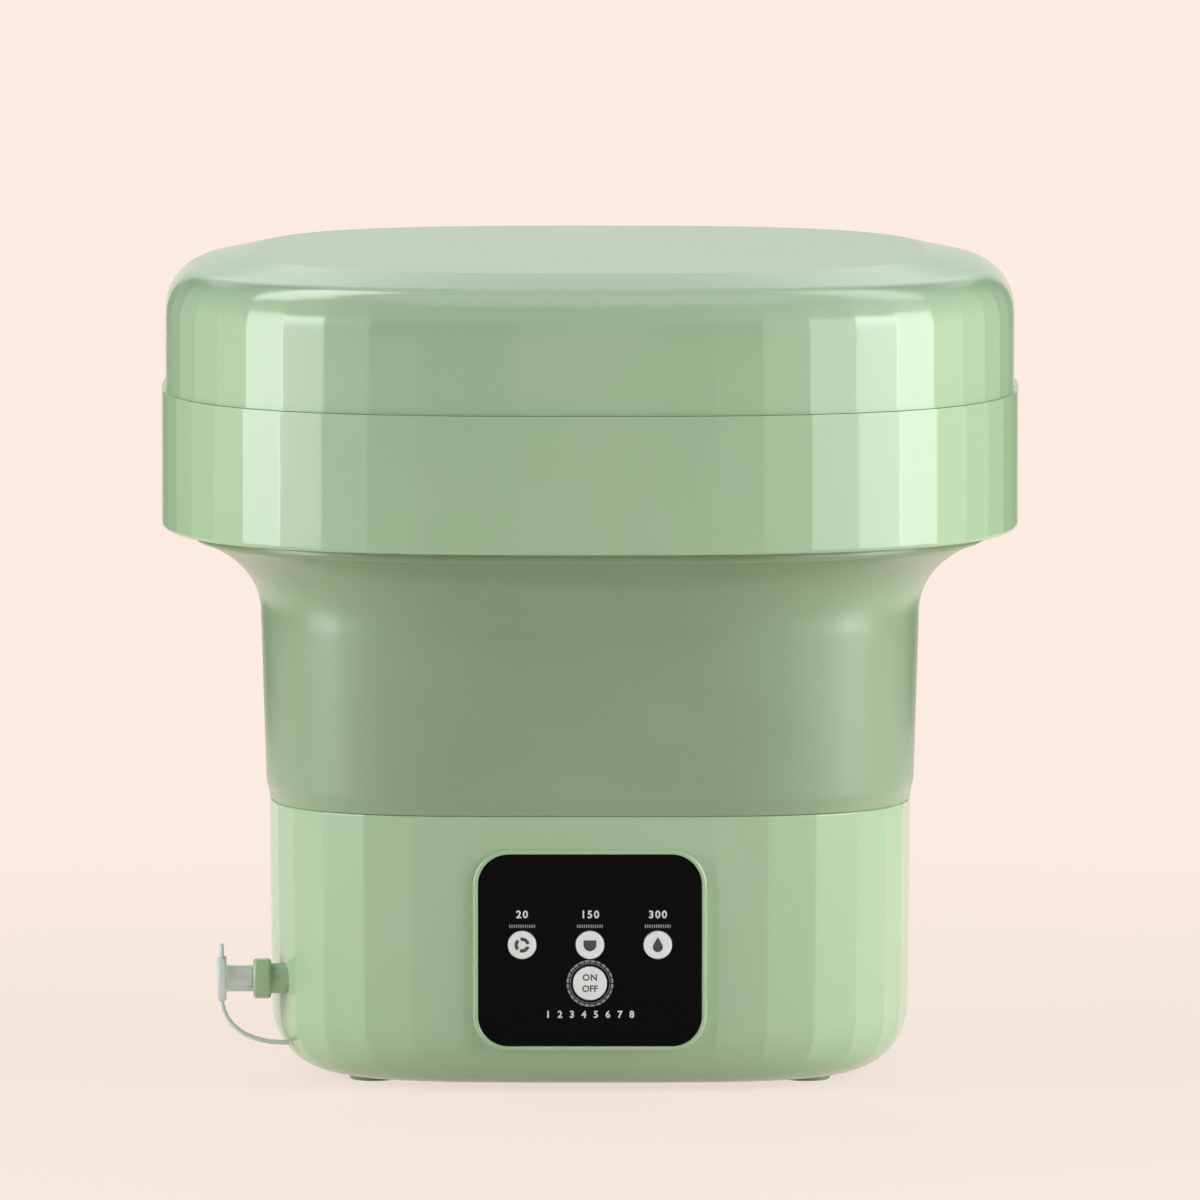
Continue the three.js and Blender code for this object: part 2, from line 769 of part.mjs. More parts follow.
const trayBody = joined(
  extruded(eggShape(outerLarge, outerSmall, shaftDistance), trayBottom, trayTop, eggSteps),
  disc(hubRadius, lowerHubBottom, trayFloor),
  ...discsAt(earPlaces, earRadius, trayBottom, trayTop, smallSides),
);
add(base, "gearbox_housing", cut(
  trayBody,
  extruded(eggShape(trayLarge, traySmall, shaftDistance), trayFloor, trayTop + overrun, eggSteps),
  disc(bearingBore, lowerBearingBottom - gap, trayFloor + overrun),
  disc(shaftRadius + 2 * gap, lowerHubBottom - overrun, trayFloor),
  disc(motorNoseRadius + gap, trayBottom - overrun, trayFloor + overrun).translate(shaftDistance, 0, 0),
  ...discsAt(earPlaces, gearboxPilot, trayBottom - overrun, trayTop + overrun, screwSides),
), blackPlastic);

const coverBody = joined(
  extruded(eggShape(outerLarge, outerSmall, shaftDistance), coverUnder, coverTop, eggSteps),
  disc(hubRadius, coverUnder, upperHubTop),
  ...discsAt(earPlaces, earRadius, coverUnder, coverTop, smallSides),
);
add(base, "gearbox_cover", cut(
  coverBody,
  disc(bearingBore, upperBearingBottom - gap, upperHubTop + overrun),
  disc(shaftRadius + 2 * gap, coverUnder - overrun, upperHubTop),
  ...discsAt(earPlaces, gearboxPilot, coverUnder - overrun, coverTop + overrun, screwSides),
), blackPlastic);

earPlaces.forEach(([x, y], i) => {
  const seat = trayBottom - gap;
  const length = tubUnder - seat;
  const gearboxScrew = screw(gearboxHeadRadius, gearboxHeadHeight, gearboxShankRadius, length);
  add(base, `gearbox_screw_${i + 1}`, gearboxScrew, steel).position.set(x, y, seat);
});

// Involute tooth outline: half the angle of a tooth at a radius, thinned by the play
function halfTooth(teeth, radius) {
  const pitch = (gearModule * teeth) / 2;
  const pressure = pressureAngleDegrees * degree;
  const involute = (angle) => Math.tan(angle) - angle;
  const atRadius = Math.acos(Math.min(1, (pitch * Math.cos(pressure)) / radius));
  return Math.PI / (2 * teeth) + involute(pressure) - involute(atRadius) - toothPlay / (2 * pitch);
}

function gearShape(teeth, bore, phase) {
  const pitch = (gearModule * teeth) / 2;
  const tip = pitch + gearModule * addendumShare;
  const root = pitch - gearModule * dedendumShare;
  const flank = [root, tip];
  const points = [];
  for (let tooth = 0; tooth < teeth; tooth++) {
    const middle = (2 * Math.PI * (tooth + phase)) / teeth;
    const side = (radius, sign) => {
      const turn = middle + sign * halfTooth(teeth, radius);
      points.push(new THREE.Vector2(radius * Math.cos(turn), radius * Math.sin(turn)));
    };
    flank.forEach((radius) => side(radius, -1));
    [...flank].reverse().forEach((radius) => side(radius, 1));
  }
  const shape = new THREE.Shape(points);
  shape.holes.push(new THREE.Path().absarc(0, 0, bore, 0, 2 * Math.PI));
  return shape;
}

// The output gear has a tooth towards the pinion, which has a space there
const gearBottom = trayFloor + gearLift;
const gearTop = gearBottom + gearWidth;
add(base, "output_gear", extruded(
  gearShape(gearTeeth, shaftRadius + gap, 0), gearBottom, gearTop, hiddenSides / 2), whiteNylon);
const pinionPhase = pinionTeeth % 2 ? 0 : 1 / 2;
const motorBore = motorShaftRadius + gap;
add(base, "motor_pinion", extruded(
  gearShape(pinionTeeth, motorBore, pinionPhase), gearBottom, gearTop, smallSides / 2), whiteNylon)
  .position.x = shaftDistance;

// Motor: a can under the tray with its nose through the floor, and its shaft up to the pinion
const noseTop = trayFloor - gearboxWall / 2;
const motorShaftBottom = motorBottom + motorLength - motorShaftBuried;
add(base, "motor_can", turned([
  [0, motorBottom],
  [motorNoseRadius, motorBottom],
  [motorNoseRadius, motorBottom + motorEdge],
  [motorRadius - motorEdge, motorBottom + motorEdge],
  [motorRadius, motorBottom + 2 * motorEdge],
  [motorRadius, motorTop - motorEdge / 2],
  [motorRadius - motorEdge / 2, motorTop],
  [motorNoseRadius, motorTop],
  [motorNoseRadius, noseTop],
  [motorBore, noseTop],
  [motorBore, motorShaftBottom - gap],
  [0, motorShaftBottom - gap],
], hiddenSides), darkSteel).position.x = shaftDistance;
add(base, "motor_shaft", disc(motorShaftRadius, motorShaftBottom, gearTop + gearLift, smallSides), steel)
  .position.x = shaftDistance;

// Drive shaft, tapped at its top for the pulsator's screw, in two bearings and under a lip seal
const shaftBottom = lowerHubBottom + hubLip / 2;
const shaftTop = hubTop + shaftTopRise;
const tappedRadius = capScrewShankRadius + gap;
add(base, "drive_shaft", turned([
  [0, shaftBottom],
  [shaftRadius, shaftBottom],
  [shaftRadius, shaftTop],
  [tappedRadius, shaftTop],
  [tappedRadius, shaftTop - tappedDepth],
  [0, shaftTop - tappedDepth],
]), steel);
const shaftRing = (radius, from, to) => ring(shaftRadius + gap, radius, from, to);
add(base, "lower_bearing", shaftRing(bearingRadius, lowerBearingBottom, lowerBearingTop), steel);
add(base, "upper_bearing", shaftRing(
  bearingRadius, upperBearingBottom, upperBearingBottom + bearingHeight), steel);
add(base, "shaft_seal", shaftRing(hubBore - gap, sealBottom, sealTop), greyRubber);

// Pulsator: a shallow dome with swept vanes, hollow below, on a hub that sits over the shaft
const pulsatorRadius = tubFloorHalf - pulsatorRoom;
const pulsatorUnder = tubFloor + pulsatorLift;
const rimTop = pulsatorUnder + pulsatorRim;
const recessRadius = capScrewHeadRadius + 2 * gap;
const domeHeight = (radius) => rimTop + pulsatorDome * (1 - (radius / pulsatorRadius) ** 2);
const recessFloor = domeHeight(0) - capScrewHeadHeight;
const vaneRise = (radius, corner) => {
  const share = radius / pulsatorRadius;
  const turn = Math.atan2(corner.y, corner.x) - share * vaneSweepDegrees * degree;
  const crest = Math.max(0, Math.cos(vaneCount * turn)) ** 2;
  return vaneHeight * crest * Math.sin(Math.PI * share ** vaneLean);
};
const topRing = (share) => {
  const radius = share * pulsatorRadius;
  return [radius, (corner) => domeHeight(radius) + vaneRise(radius, corner), circlePower];
};
const underRing = (radius) => [radius, domeHeight(radius) - pulsatorWall, circlePower];
const topShares = [0.92, 0.74, 0.54, 0.34];
const underShares = [0.5];
const pulsatorBody = loft([
  [pulsatorRadius, pulsatorUnder, circlePower],
  [pulsatorRadius, rimTop, circlePower],
  ...topShares.map(topRing),
  [recessRadius, domeHeight(recessRadius), circlePower],
  [recessRadius, recessFloor, circlePower],
  [tappedRadius, recessFloor, circlePower],
  [tappedRadius, shaftTop + gap, circlePower],
  [shaftRadius + gap, shaftTop + gap, circlePower],
  [shaftRadius + gap, hubTop + gap, circlePower],
  [pulsatorHubRadius, hubTop + gap, circlePower],
  [pulsatorHubRadius + gap, domeHeight(pulsatorHubRadius) - pulsatorWall, circlePower],
  ...underShares.map((share) => underRing(share * pulsatorRadius)),
  [pulsatorRadius - pulsatorRim, pulsatorUnder, circlePower],
], pulsatorSides);
add(base, "pulsator", pulsatorBody, whiteCap);
const capSeat = recessFloor + gap;
const capScrewLength = capSeat - shaftTop + tappedDepth - gap;
const capScrew = screw(capScrewHeadRadius, capScrewHeadHeight, capScrewShankRadius, capScrewLength);
add(base, "pulsator_screw", capScrew.rotateX(Math.PI), steel).position.z = capSeat;

// Drain parts lie along the spout's axis, measured outwards from the machine's middle
const drain = new THREE.Group();
drain.rotation.y = -Math.PI / 2;
drain.position.set(0, drainAlong, drainHeight);
base.add(drain);

const neckBack = spoutPadDepth - gap - neckFlangeThickness;
const ringBack = baseSideAtDrain + neckReach - neckReach / 3;
const ringFront = ringBack + ringLength;
add(drain, "drain_spout", turned([
  [neckBoreRadius, neckBack],
  [neckFlangeRadius, neckBack],
  [neckFlangeRadius, neckBack + neckFlangeThickness],
  [neckRadius, neckBack + neckFlangeThickness],
  [neckRadius, ringFront - gap],
  [neckBoreRadius, ringFront - gap],
  [neckBoreRadius, neckBack],
], hiddenSides), sageGloss);
const ringInner = neckRadius + gap;
const ringEdge = (ringRadius - ringInner) * ringRoundShare;
add(drain, "spout_ring", turned([
  [ringInner, ringBack],
  ...arc(ringRadius - ringEdge, ringBack + ringEdge, ringEdge, -90, 0, ringSteps),
  ...arc(ringRadius - ringEdge, ringFront - ringEdge, ringEdge, 0, 90, ringSteps),
  [ringInner, ringFront],
  [ringInner, ringBack],
]), sageGloss);

// Plug: a tip in the bore, a stem, and a disc with a pull tab that stands upwards
const plugStemBack = ringFront + gap;
const discBack = plugStemBack + plugStemLength;
const plugReach = discBack + plugDiscThickness;
const tipBack = plugStemBack - plugTipLength;
const tabShape = new THREE.Shape([
  new THREE.Vector2(0, -tabWidth / 2),
  new THREE.Vector2(plugDiscRadius, -tabWidth / 2),
  new THREE.Vector2(tabLength, -tabTipWidth / 2),
  new THREE.Vector2(tabLength, tabTipWidth / 2),
  new THREE.Vector2(plugDiscRadius, tabWidth / 2),
  new THREE.Vector2(0, tabWidth / 2),
]);
const tabMiddle = plugReach - plugDiscThickness / 2;
add(drain, "drain_plug", joined(
  turned([
    [0, tipBack],
    [plugTipRadius - gap, tipBack],
    [plugTipRadius, tipBack + plugTipLength / 4],
    [plugTipRadius, plugStemBack],
    [plugStemRadius, plugStemBack],
    [plugStemRadius, discBack - plugCollarLength],
    [plugCollarRadius, discBack - plugCollarLength],
    [plugCollarRadius, discBack],
    [plugDiscRadius, discBack],
    [plugDiscRadius, plugReach],
    [0, plugReach],
  ]),
  extruded(tabShape, tabMiddle - tabThickness / 2, tabMiddle + tabThickness / 2),
), clearSilicone);

// Tether: a thin strap that hangs in a bow from the disc's foot to the base's lower side
const tetherDrop = plugDiscRadius + gap + tetherThickness / 2;
const tetherTop = new THREE.Vector3(-tabMiddle, drainAlong, drainHeight - plugDiscRadius - gap);
const tetherHalf = filletHalf + Math.sqrt(baseFillet ** 2 - (filletTop - tetherHeight) ** 2);
const tetherSide = -(tetherHalf / baseHalf) * baseSideAtDrain - gap - tetherThickness / 2;
const tetherEnd = new THREE.Vector3(tetherSide, drainAlong, tetherHeight);
const tetherCurve = new THREE.CubicBezierCurve3(
  tetherTop,
  new THREE.Vector3(tetherTop.x, drainAlong, tetherTop.z - tetherDrop),
  new THREE.Vector3((tetherTop.x + tetherSide) / 2, drainAlong, tetherHeight - tetherThickness),
  tetherEnd,
);
const strapShape = new THREE.Shape([
  new THREE.Vector2(-tetherWidth / 2, -tetherThickness / 2),
  new THREE.Vector2(tetherWidth / 2, -tetherThickness / 2),
  new THREE.Vector2(tetherWidth / 2, tetherThickness / 2),
  new THREE.Vector2(-tetherWidth / 2, tetherThickness / 2),
]);
add(base, "plug_tether", new THREE.ExtrudeGeometry(
  strapShape, { steps: tetherSteps, extrudePath: tetherCurve, bevelEnabled: false },
), clearSilicone);

// Elbow: a short hose from the outlet's spigot down and out to the back of the spout
const elbowTop = tubUnder - gap;
const elbowPoints = [
  [outletAcross, elbowTop],
  [outletAcross, drainHeight + elbowBend],
  [outletAcross - elbowBend, drainHeight],
  [gap - neckBack, drainHeight],
].map(([x, z]) => new THREE.Vector3(x, drainAlong, z));
const elbowCorner = new THREE.Vector3(outletAcross, drainAlong, drainHeight);
const elbowCurve = new THREE.CurvePath();
elbowCurve.add(new THREE.LineCurve3(elbowPoints[0], elbowPoints[1]));
elbowCurve.add(new THREE.QuadraticBezierCurve3(elbowPoints[1], elbowCorner, elbowPoints[2]));
elbowCurve.add(new THREE.LineCurve3(elbowPoints[2], elbowPoints[3]));
const elbowSection = new THREE.Shape().absarc(0, 0, elbowRadius, 0, 2 * Math.PI);
elbowSection.holes.push(new THREE.Path().absarc(0, 0, elbowRadius - elbowWall, 0, 2 * Math.PI));
add(base, "drain_elbow", new THREE.ExtrudeGeometry(
  elbowSection,
  { steps: elbowSteps, extrudePath: elbowCurve, bevelEnabled: false, curveSegments: smallSides / 2 },
), clearSilicone);

// Power inlet: a barrel socket from outside, with a nut behind the wall
const inlet = new THREE.Group();
inlet.rotation.x = -Math.PI / 2;
inlet.position.set(inletAcross, 0, inletHeight);
base.add(inlet);
const inletFlangeBack = baseHalf + gap;
const inletFront = inletFlangeBack + inletFlangeThickness;
const inletTail = inletFront - inletLength;
const boreBack = inletFront - inletBoreDepth;
add(inlet, "power_inlet", turned([
  [0, inletTail],
  [inletRadius, inletTail],
  [inletRadius, inletFlangeBack],
  [inletFlangeRadius, inletFlangeBack],
  [inletFlangeRadius, inletFront - inletFlangeThickness / 3],
  [inletFlangeRadius - inletFlangeThickness / 3, inletFront],
  [inletBoreRadius, inletFront],
  [inletBoreRadius, boreBack],
  [inletPinRadius, boreBack],
  [inletPinRadius, inletFront - inletFlangeThickness],
  [0, inletFront - inletFlangeThickness],
], hiddenSides), blackPlastic);
const nutFront = inletSeat - gap;
add(inlet, "inlet_nut", cut(
  disc(inletNutRadius, nutFront - inletNutThickness, nutFront, screwSides),
  disc(inletRadius + gap, nutFront - inletNutThickness - overrun, nutFront + overrun, hiddenSides),
), steel);

// Leads from the board to the inlet and to the motor, which lie along the inside of the base. Each has a
// straight stretch at both ends.
function lead(points) {
  const curve = new THREE.CatmullRomCurve3(points.map(([x, y, z]) => new THREE.Vector3(x, y, z)));
  const section = new THREE.Shape().absarc(0, 0, leadRadius, 0, 2 * Math.PI);
  return new THREE.ExtrudeGeometry(section, {
    steps: leadStepsPerPoint * points.length,
    extrudePath: curve,
    bevelEnabled: false,
    curveSegments: leadSides / 2,
  });
}
const leadFloor = ledgeTop + leadRadius + leadLift;
const leadPastBoss = coverScrewAt + coverBossRadius + leadRadius + leadPlay;
const leadBeside = leadPastBoss + leadSwing;
const boardLow = panelCentreHeight - boardHeight / 3;
const motorSide = motorRadius + gap;
const motorMiddle = motorBottom + motorLength / 2;
add(base, "inlet_lead", lead([
  [inletAcross, inletTail - gap, inletHeight],
  [inletAcross, inletTail - leadStraight, inletHeight],
  [leadBeside, inletTail / 2, (inletHeight + leadFloor) / 2],
  [leadBeside, 0, leadFloor],
  [leadPastBoss, -coverScrewAt, leadFloor],
  [boardWidth / 3, leadStraight - boardBack, boardLow],
  [boardWidth / 3, gap - boardBack, boardLow],
]), blackPlastic);
add(base, "motor_lead", lead([
  [shaftDistance, -motorSide, motorMiddle],
  [shaftDistance, -motorSide - leadStraight, motorMiddle],
  [shaftDistance / 2, -boardBack / 2, leadFloor],
  [0, leadStraight - boardBack, boardLow],
  [0, gap - boardBack, boardLow],
]), blackPlastic);

// Soft wall: it grips the tub's flange, rises a little outwards, flares under the collar, shows a small
// lip below the collar's shelf, passes through the shelf and ends in a bead on top of it
const shelfUnder = collarBottom + collarShelfRise;
const shelfTop = shelfUnder + collarShelfThickness;
const collarInner = collarHalf - collarWall;
const shelfHalf = collarInner - collarShelfWidth;
const neckHalf = shelfHalf - sleeveNeckPlay;
const neckInner = neckHalf - sleeveWall;
const beadBottom = shelfTop + gap;
const beadTop = beadBottom + sleeveBead;
const beadHalf = collarInner - 3 * gap;
const sleeveFootHalf = baseHalf + sleeveFootProud;
const sleeveHalf = baseHalf + sleeveProud;
const flareStart = baseTop + flareHeight;
const bendHeight = flareStart + flareBend;
const lipHalf = neckHalf + sleeveLipWidth;
const lipBottom = collarBottom - sleeveLipDrop;

// The flare leaves the wall upright and reaches the lip along a slope. Its inside is set in by the wall,
// and raised so that the slope keeps the same thickness.
const flareLean = Math.atan2(neckHalf - sleeveHalf, lipBottom - bendHeight);
const innerRise = sleeveWall * Math.tan(flareLean / 2);
function flare(inset, rise) {
  return new THREE.QuadraticBezierCurve(
    new THREE.Vector2(sleeveHalf - inset, flareStart),
    new THREE.Vector2(sleeveHalf - inset, bendHeight + rise),
    new THREE.Vector2(neckHalf - inset, lipBottom + rise),
  ).getPoints(flareSteps).map((point) => point.toArray());
}
const sleeveBottom = baseTop + gap;
const grooveTop = flangeTop + gap;
const grooveHalf = flangeHalf + gap;
const gripHalf = tubHalf + gap;
const gripTop = tubTop + 4 * gap;
const sleeveFootInner = sleeveFootHalf - sleeveWall;

// The plan eases from the base's to the collar's as the wall flares
function sleevePower(height) {
  const share = THREE.MathUtils.smoothstep(height, flareStart, lipBottom);
  return THREE.MathUtils.lerp(basePower, collarPower, share);
}
const sleeveProfile = [
  [sleeveFootHalf, sleeveBottom],
  ...flare(0, 0),
  [lipHalf, lipBottom],
  [lipHalf, lipBottom + sleeveLipThickness],
  [neckHalf, lipBottom + sleeveLipThickness],
  [neckHalf, beadBottom],
  [beadHalf, beadBottom],
  [beadHalf, beadTop],
  [neckInner, beadTop],
  ...flare(sleeveWall, innerRise).reverse(),
  [sleeveFootInner, gripTop + sleeveWall],
  [gripHalf, gripTop],
  [gripHalf, grooveTop],
  [grooveHalf, grooveTop],
  [grooveHalf, sleeveBottom],
];
add(collar, "folding_wall", loft(
  sleeveProfile.map(([half, height]) => [half, height, sleevePower(height)]), baseFacets), sageSoft);

// Collar: a faceted skirt with a shelf for the soft wall and a land at the mouth for the lid
const mouthHalf = collarHalf - mouthWidth;
add(collar, "collar_shell", loft(planned(collarPower, [
  [collarHalf - collarEdge, collarBottom],
  [collarHalf, collarBottom + collarEdge],
  [collarHalf, collarTop],
  [mouthHalf, collarTop],
  [mouthHalf, collarTop - mouthThickness],
  [collarInner, collarTop - mouthThickness - collarWall],
  [collarInner, shelfTop],
  [shelfHalf, shelfTop],
  [shelfHalf, shelfUnder],
  [collarInner, shelfUnder],
  [collarInner, collarBottom],
]), collarFacets), sageGloss);

const clampBottom = beadTop + gap;
const clampTop = clampBottom + clampThickness;
const clampHalf = collarInner - slidePlay;
add(collar, "sleeve_clamp_ring", loft(planned(collarPower, [
  [clampHalf, clampBottom],
  [clampHalf, clampTop],
  [clampHalf - clampWidth, clampTop],
  [clampHalf - clampWidth, clampBottom],
]), collarFacets), sageGloss);

// Lid: a shell with a flat raised top, a sloping surround and a round shoulder. A rib inside fits the
// collar's mouth, and the gasket sits in the slot between that rib and the skirt, with its edge down.
const lidHalf = collarHalf - lidStep;
const lidInner = lidHalf - lidWall;
const creaseHalf = lidHalf - shoulderRadius;
const creaseHeight = lidTop - plateauRise;
const shoulderHeight = creaseHeight - shoulderRadius;
const plateauHalf = creaseHalf - plateauInset;
const innerShoulder = arc(
  creaseHalf, shoulderHeight, shoulderRadius - lidWall, 90, 0, hiddenArcSteps + 1);
const ribHalf = mouthHalf - slidePlay;
const ribInner = ribHalf - lidRibWall;
const slotTop = lidBottom + gasketHeight + gap;
add(lid, "lid_shell", loft(planned(collarPower, [
  [lidHalf, lidBottom],
  ...arc(creaseHalf, shoulderHeight, shoulderRadius, 0, 90, shoulderSteps),
  [plateauHalf, lidTop],
  [0, lidTop],
  [0, lidTop - lidWall],
  [plateauHalf, lidTop - lidWall],
  ...innerShoulder,
  [lidInner, slotTop + 2 * lidRibWall],
  [ribInner, slotTop + lidRibWall],
  [ribInner, lidBottom - lidRibDepth],
  [ribHalf, lidBottom - lidRibDepth],
  [ribHalf, slotTop],
  [lidInner, slotTop],
  [lidInner, lidBottom],
]), collarFacets), sageGloss);

add(lid, "lid_gasket", loft(planned(collarPower, [
  [ribHalf + gasketPlay, slotTop - gap],
  [(ribHalf + lidInner) / 2, lidBottom],
  [lidInner - gasketPlay, slotTop - gap],
]), collarFacets), greyRubber);

export default machine;
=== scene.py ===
"""Folding mini washing machine: a hard faceted base with a black control panel and a side drain, a soft
wall that folds down, and a wide faceted collar under a lift-off lid."""

import math

import bmesh
import bpy
import numpy as np
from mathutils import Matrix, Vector


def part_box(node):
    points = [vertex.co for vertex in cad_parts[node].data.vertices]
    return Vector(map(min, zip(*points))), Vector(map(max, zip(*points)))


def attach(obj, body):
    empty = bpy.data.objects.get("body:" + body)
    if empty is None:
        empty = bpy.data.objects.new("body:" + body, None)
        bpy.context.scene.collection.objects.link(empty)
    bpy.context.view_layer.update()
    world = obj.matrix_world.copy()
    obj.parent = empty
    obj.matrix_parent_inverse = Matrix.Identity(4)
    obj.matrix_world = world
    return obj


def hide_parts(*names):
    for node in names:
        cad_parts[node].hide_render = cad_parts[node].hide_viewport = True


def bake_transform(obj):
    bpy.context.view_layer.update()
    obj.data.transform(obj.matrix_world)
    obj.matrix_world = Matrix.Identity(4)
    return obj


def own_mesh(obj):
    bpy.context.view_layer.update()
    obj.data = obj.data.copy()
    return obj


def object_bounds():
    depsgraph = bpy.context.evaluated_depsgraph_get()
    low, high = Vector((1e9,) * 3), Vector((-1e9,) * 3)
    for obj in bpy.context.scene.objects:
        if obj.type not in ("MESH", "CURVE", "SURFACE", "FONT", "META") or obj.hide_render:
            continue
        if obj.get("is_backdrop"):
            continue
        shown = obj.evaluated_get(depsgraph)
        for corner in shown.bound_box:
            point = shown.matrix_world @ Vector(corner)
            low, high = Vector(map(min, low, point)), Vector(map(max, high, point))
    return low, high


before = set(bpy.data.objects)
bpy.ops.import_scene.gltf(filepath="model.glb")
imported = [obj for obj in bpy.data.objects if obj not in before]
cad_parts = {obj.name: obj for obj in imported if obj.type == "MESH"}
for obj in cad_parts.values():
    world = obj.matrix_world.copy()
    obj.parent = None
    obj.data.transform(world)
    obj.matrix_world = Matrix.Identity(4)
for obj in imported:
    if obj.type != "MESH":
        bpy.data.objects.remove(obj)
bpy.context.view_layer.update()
mm = 0.001


# Camera: a very long lens a little above the table, so that upright edges stay parallel. It looks
# slightly down at the middle of the machine.

def aimed(data, place, target):
    """Stands a camera or a lamp at a place and turns it to a target."""
    holder = bpy.data.objects.new(data.name, data)
    bpy.context.scene.collection.objects.link(holder)
    holder.location = place
    holder.rotation_euler = (Vector(target) - Vector(place)).to_track_quat("-Z", "Y").to_euler()
    return holder


camera_across = 3.6 * mm
camera_back = 8.5
camera_height = 900 * mm
machine_middle = 167.9 * mm
long_lens = bpy.data.cameras.new("long_lens")
long_lens.lens = 706
long_lens.clip_end = 60
bpy.context.scene.camera = aimed(
    long_lens, (camera_across, -camera_back, camera_height), (camera_across, 0, machine_middle))


# Base shell: one injection moulding in pale green ABS with a satin gloss. Its upright sides are flat
# facets, which run out on the large rounding at its foot, and it opens downwards for the bottom cover.

def linear(code):
    """Linear colour and alpha of an sRGB hex code."""
    parts = [int(code[i:i + 2], 16) / 255 for i in (1, 3, 5)]
    return [p / 12.92 if p <= 0.04045 else ((p + 0.055) / 1.055) ** 2.4 for p in parts] + [1]


def node(tree, kind, inputs, **settings):
    """Adds a shader node, sets its properties, and sets or links its inputs."""
    made = tree.nodes.new("ShaderNode" + kind)
    for name, value in settings.items():
        setattr(made, name, value)
    for key, value in inputs.items():
        if isinstance(value, bpy.types.NodeSocket):
            tree.links.new(value, made.inputs[key])
        else:
            made.inputs[key].default_value = value
    return made


def stuff(name, code, roughness, ior=1.5, metallic=0.0):
    """A new material with its shader, its node tree and the place of each point on the piece."""
    made = bpy.data.materials.new(name)
    made.use_nodes = True
    tree = made.node_tree
    shader = tree.nodes["Principled BSDF"]
    shader.inputs["Base Color"].default_value = linear(code)
    shader.inputs["Roughness"].default_value = roughness
    shader.inputs["IOR"].default_value = ior
    shader.inputs["Metallic"].default_value = metallic
    place = tree.nodes.new("ShaderNodeTexCoord").outputs["Object"]
    return made, tree, shader, place


def tinted(tree, shader, place, patch, dark, light):
    """Lets the colour drift between two near shades over soft patches of a real size."""
    cloud = node(tree, "TexNoise", {"Vector": place, "Scale": 1 / patch, "Detail": 2.0})
    ramp = node(tree, "ValToRGB", {"Fac": cloud.outputs["Fac"]})
    ramp.color_ramp.elements[0].position = 0.35
    ramp.color_ramp.elements[1].position = 0.65
    ramp.color_ramp.elements[0].color = linear(dark)
    ramp.color_ramp.elements[1].color = linear(light)
    tree.links.new(ramp.outputs["Color"], shader.inputs["Base Color"])


def grained(tree, shader, place, grain, depth):
    """Gives the surface a fine relief: bumps of a real width and a real height."""
    cloud = node(tree, "TexNoise", {"Vector": place, "Scale": 1 / grain, "Detail": 3.0})
    bump = node(tree, "Bump", {"Height": cloud.outputs["Fac"], "Distance": depth})
    tree.links.new(bump.outputs["Normal"], shader.inputs["Normal"])


# Gloss ABS: a clean mould surface that mirrors the softboxes as broad soft bands
abs_green, tree, shader, place = stuff("abs_sage_gloss", "#abc7a0", 0.18, 1.53)
tinted(tree, shader, place, 90 * mm, "#a9c69e", "#adc8a2")
grained(tree, shader, place, 22 * mm, 0.02 * mm)


def reach(power, turn):
    """How far out a rounded square one unit from middle to side lies in each direction."""
    return (abs(np.cos(turn)) ** power + abs(np.sin(turn)) ** power) ** (-1 / power)


def ring_of(power, turn):
    """Points of that rounded square in the given directions."""
    return np.stack([np.cos(turn), np.sin(turn)], -1) * reach(power, turn)[..., None]


def facets(power, count):
    """Plan of a faceted moulding, one unit from middle to side. Its corners lie at equal steps along the
    rounded square, and each is slightly rounded. Returns the flat plan, the round plan in the same
    directions, and how near each point is to the middle of its facet, from 0 to 1."""
    turn = np.linspace(-0.5 * np.pi, 1.5 * np.pi, 7201)
    line = ring_of(power, turn)
    run = np.concatenate([[0], np.cumsum(np.linalg.norm(np.diff(line, axis=0), axis=1))])
    at = (np.arange(count) + 0.5) / count * run[-1]
    corner = np.stack([np.interp(at, run, line[:, axis]) for axis in (0, 1)], 1)
    share = np.array([0.025, 0.06, 0.2, 0.35, 0.5, 0.65, 0.8, 0.94, 0.975])
    along = share[None, :, None]
    flat = corner[:, None] * (1 - along) + np.roll(corner, -1, 0)[:, None] * along
    eased_corner = corner / 2 + (flat[:, 0] + np.roll(flat[:, -1], 1, 0)) / 4
    plan = np.concatenate([eased_corner[:, None], flat], 1).reshape(-1, 2)
    middle = np.tile(4 * np.append(0, share) * (1 - np.append(0, share)), count)
    return plan, ring_of(power, np.arctan2(plan[:, 1], plan[:, 0])), middle


def eased(corners, steps=6):
    """Closed profile through corners of [out, up, radius] in millimetres, with each corner an arc."""
    corners = np.array(corners, float) * mm
    here = corners[:, :2]
    radius = corners[:, 2:]
    back = np.roll(here, 1, 0) - here
    ahead = np.roll(here, -1, 0) - here
    back /= np.linalg.norm(back, axis=1, keepdims=True)
    ahead /= np.linalg.norm(ahead, axis=1, keepdims=True)
    half = np.arccos(np.clip((back * ahead).sum(1, keepdims=True), -1, 1)) / 2
    inward = (back + ahead) / np.linalg.norm(back + ahead, axis=1, keepdims=True)
    centre = here + inward * radius / np.sin(half)
    start = (here + back * radius / np.tan(half) - centre)[:, None]
    end = (here + ahead * radius / np.tan(half) - centre)[:, None]
    sweep = (np.pi - 2 * half)[:, None]
    share = np.linspace(0, 1, steps + 1)[None, :, None]
    arc = (np.sin((1 - share) * sweep) * start + np.sin(share * sweep) * end) / np.sin(sweep)
    return (centre[:, None] + arc).reshape(-1, 2)


weld = 0.002 * mm


